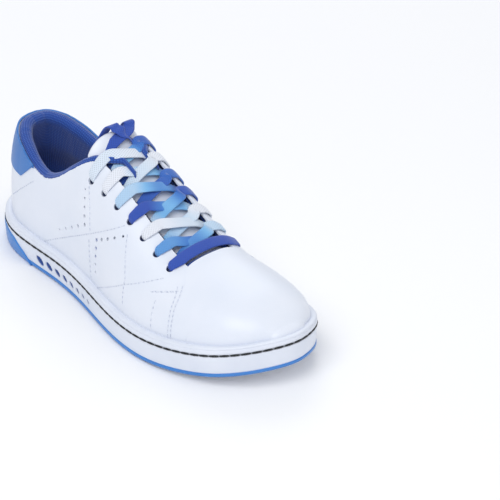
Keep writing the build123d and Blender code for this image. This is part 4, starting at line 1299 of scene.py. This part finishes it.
# White microfibre with a short brushed nap: mottled, matt, with a soft sheen.
place = node(tree, "ShaderNodeTexCoord").outputs["Object"]
nap = node(tree, "ShaderNodeTexNoise", Vector=place, Scale=1500.0, Detail=6.0)
cloud = node(tree, "ShaderNodeTexNoise", Vector=place, Scale=120.0, Detail=5.0)
two_tone(tree, surface, cloud.outputs["Fac"], "#D6D9E4", "#EEF0F7")
emboss(tree, surface, nap.outputs["Fac"], 0.5, 0.0003)
surface.inputs["Roughness"].default_value = 0.92
surface.inputs["Sheen Weight"].default_value = 0.3
pad = shaped_floor(5.5, arrow, None, 260, 90)
pad[..., 2] = rise(pad[..., 0]) + 0.05
pad_piece = build("slide_pad", pad, faces_out=False)
settle(pad_piece, [wall(1.2), soft_edge(0.4)])
finish_piece(pad_piece, pad_nap, stands_for=("slide_pad_rear", "slide_pad_front"))

bar_print, tree, surface = new_material("printed_teal")
# Flexible teal print bonded into the pad, slightly glossy.
place = node(tree, "ShaderNodeTexCoord").outputs["Object"]
speckle = node(tree, "ShaderNodeTexNoise", Vector=place, Scale=900.0, Detail=3.0)
two_tone(tree, surface, speckle.outputs["Fac"], "#286786", "#37799B")
surface.inputs["Roughness"].default_value = 0.45
for k, share in enumerate((0.605, 0.64, 0.675, 0.71)):
    t = np.linspace(-1, 1, 60)
    centre_x = along(share) - 7.0 * t**2
    y = middle + t * (ball_width / 2 - 11.0)
    width = 2.6 - 0.9 * t
    lines = [np.column_stack([centre_x + width * off, y, rise(centre_x) - 0.12]) for off in (-1, -0.4, 0.4, 1)]
    strip = np.stack(lines, 1)
    stripe = build(f"pad_stripe_{k + 1}", strip, faces_out=True)
    settle(stripe, [wall(0.6)])
    finish_piece(stripe, bar_print, stands_for=("slide_pad_stripes",) if k == 0 else ())


# ---------------------------------------------------------------------------------------------------------------
# Inside pieces that keep the frame's own shape: the stiffeners of pressed fibre, the woven reinforcement glued
# under the eyelets, the steel shank and the moulded tips of the lace.
def dress(material, *names):
    """Give the frame's own nodes a material."""
    for name in names:
        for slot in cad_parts[name].material_slots:
            slot.material = material


pressed_fibre, tree, surface = new_material("pressed_fibre")
# Thermoplastic-coated pressed fibre: matt off-white with short fibres in all directions.
place = node(tree, "ShaderNodeTexCoord").outputs["Object"]
fibres = node(tree, "ShaderNodeTexNoise", Vector=place, Scale=1400.0, Detail=5.0, Distortion=2.0)
two_tone(tree, surface, fibres.outputs["Fac"], "#BDB8AC", "#D9D5CB")
emboss(tree, surface, fibres.outputs["Fac"], 0.3, 0.0001)
surface.inputs["Roughness"].default_value = 0.85
dress(pressed_fibre, "heel_counter", "toe_puff")

eyelet_tape, tree, surface = new_material("navy_woven_tape")
# Plain-woven navy tape, 0.6 mm threads: it is what shows, in shadow, down an eyelet beside the lace.
place = node(tree, "ShaderNodeTexCoord").outputs["Object"]
warp = node(tree, "ShaderNodeTexWave", {"bands_direction": "X"}, Vector=place, Scale=260.0)
weft = node(tree, "ShaderNodeTexWave", {"bands_direction": "Y"}, Vector=place, Scale=260.0)
weave = node(tree, "ShaderNodeMath", {"operation": "MAXIMUM"}, i0=warp.outputs["Fac"], i1=weft.outputs["Fac"])
two_tone(tree, surface, weave.outputs[0], "#0C1530", "#1B2A55")
emboss(tree, surface, weave.outputs[0], 0.4, 0.0001)
surface.inputs["Roughness"].default_value = 0.9
dress(eyelet_tape, "eyestay_backing_lateral", "eyestay_backing_medial")

shank_steel, tree, surface = new_material("spring_steel")
# Rolled spring steel with faint rolling lines along its length.
place = node(tree, "ShaderNodeTexCoord").outputs["Object"]
lines = node(tree, "ShaderNodeTexWave", {"bands_direction": "Y"}, Vector=place, Scale=900.0, Distortion=2.0)
shine = node(tree, "ShaderNodeMapRange", Value=lines.outputs["Fac"], To_Min=0.28, To_Max=0.45)
tree.links.new(shine.outputs["Result"], surface.inputs["Roughness"])
surface.inputs["Base Color"].default_value = linear("#9A9DA3")
surface.inputs["Metallic"].default_value = 1.0
dress(shank_steel, "shank")

tip_plastic, tree, surface = new_material("acetate_tip")
# Acetate film wound round the lace's end and shrunk on: glossy, with the weave's relief showing through.
place = node(tree, "ShaderNodeTexCoord").outputs["Object"]
relief = node(tree, "ShaderNodeTexWave", {"bands_direction": "Z"}, Vector=place, Scale=300.0)
two_tone(tree, surface, relief.outputs["Fac"], "#2A50B2", "#3C64C6")
emboss(tree, surface, relief.outputs["Fac"], 0.2, 0.0001)
surface.inputs["Roughness"].default_value = 0.15
surface.inputs["IOR"].default_value = 1.48
dress(tip_plastic, "aglets")
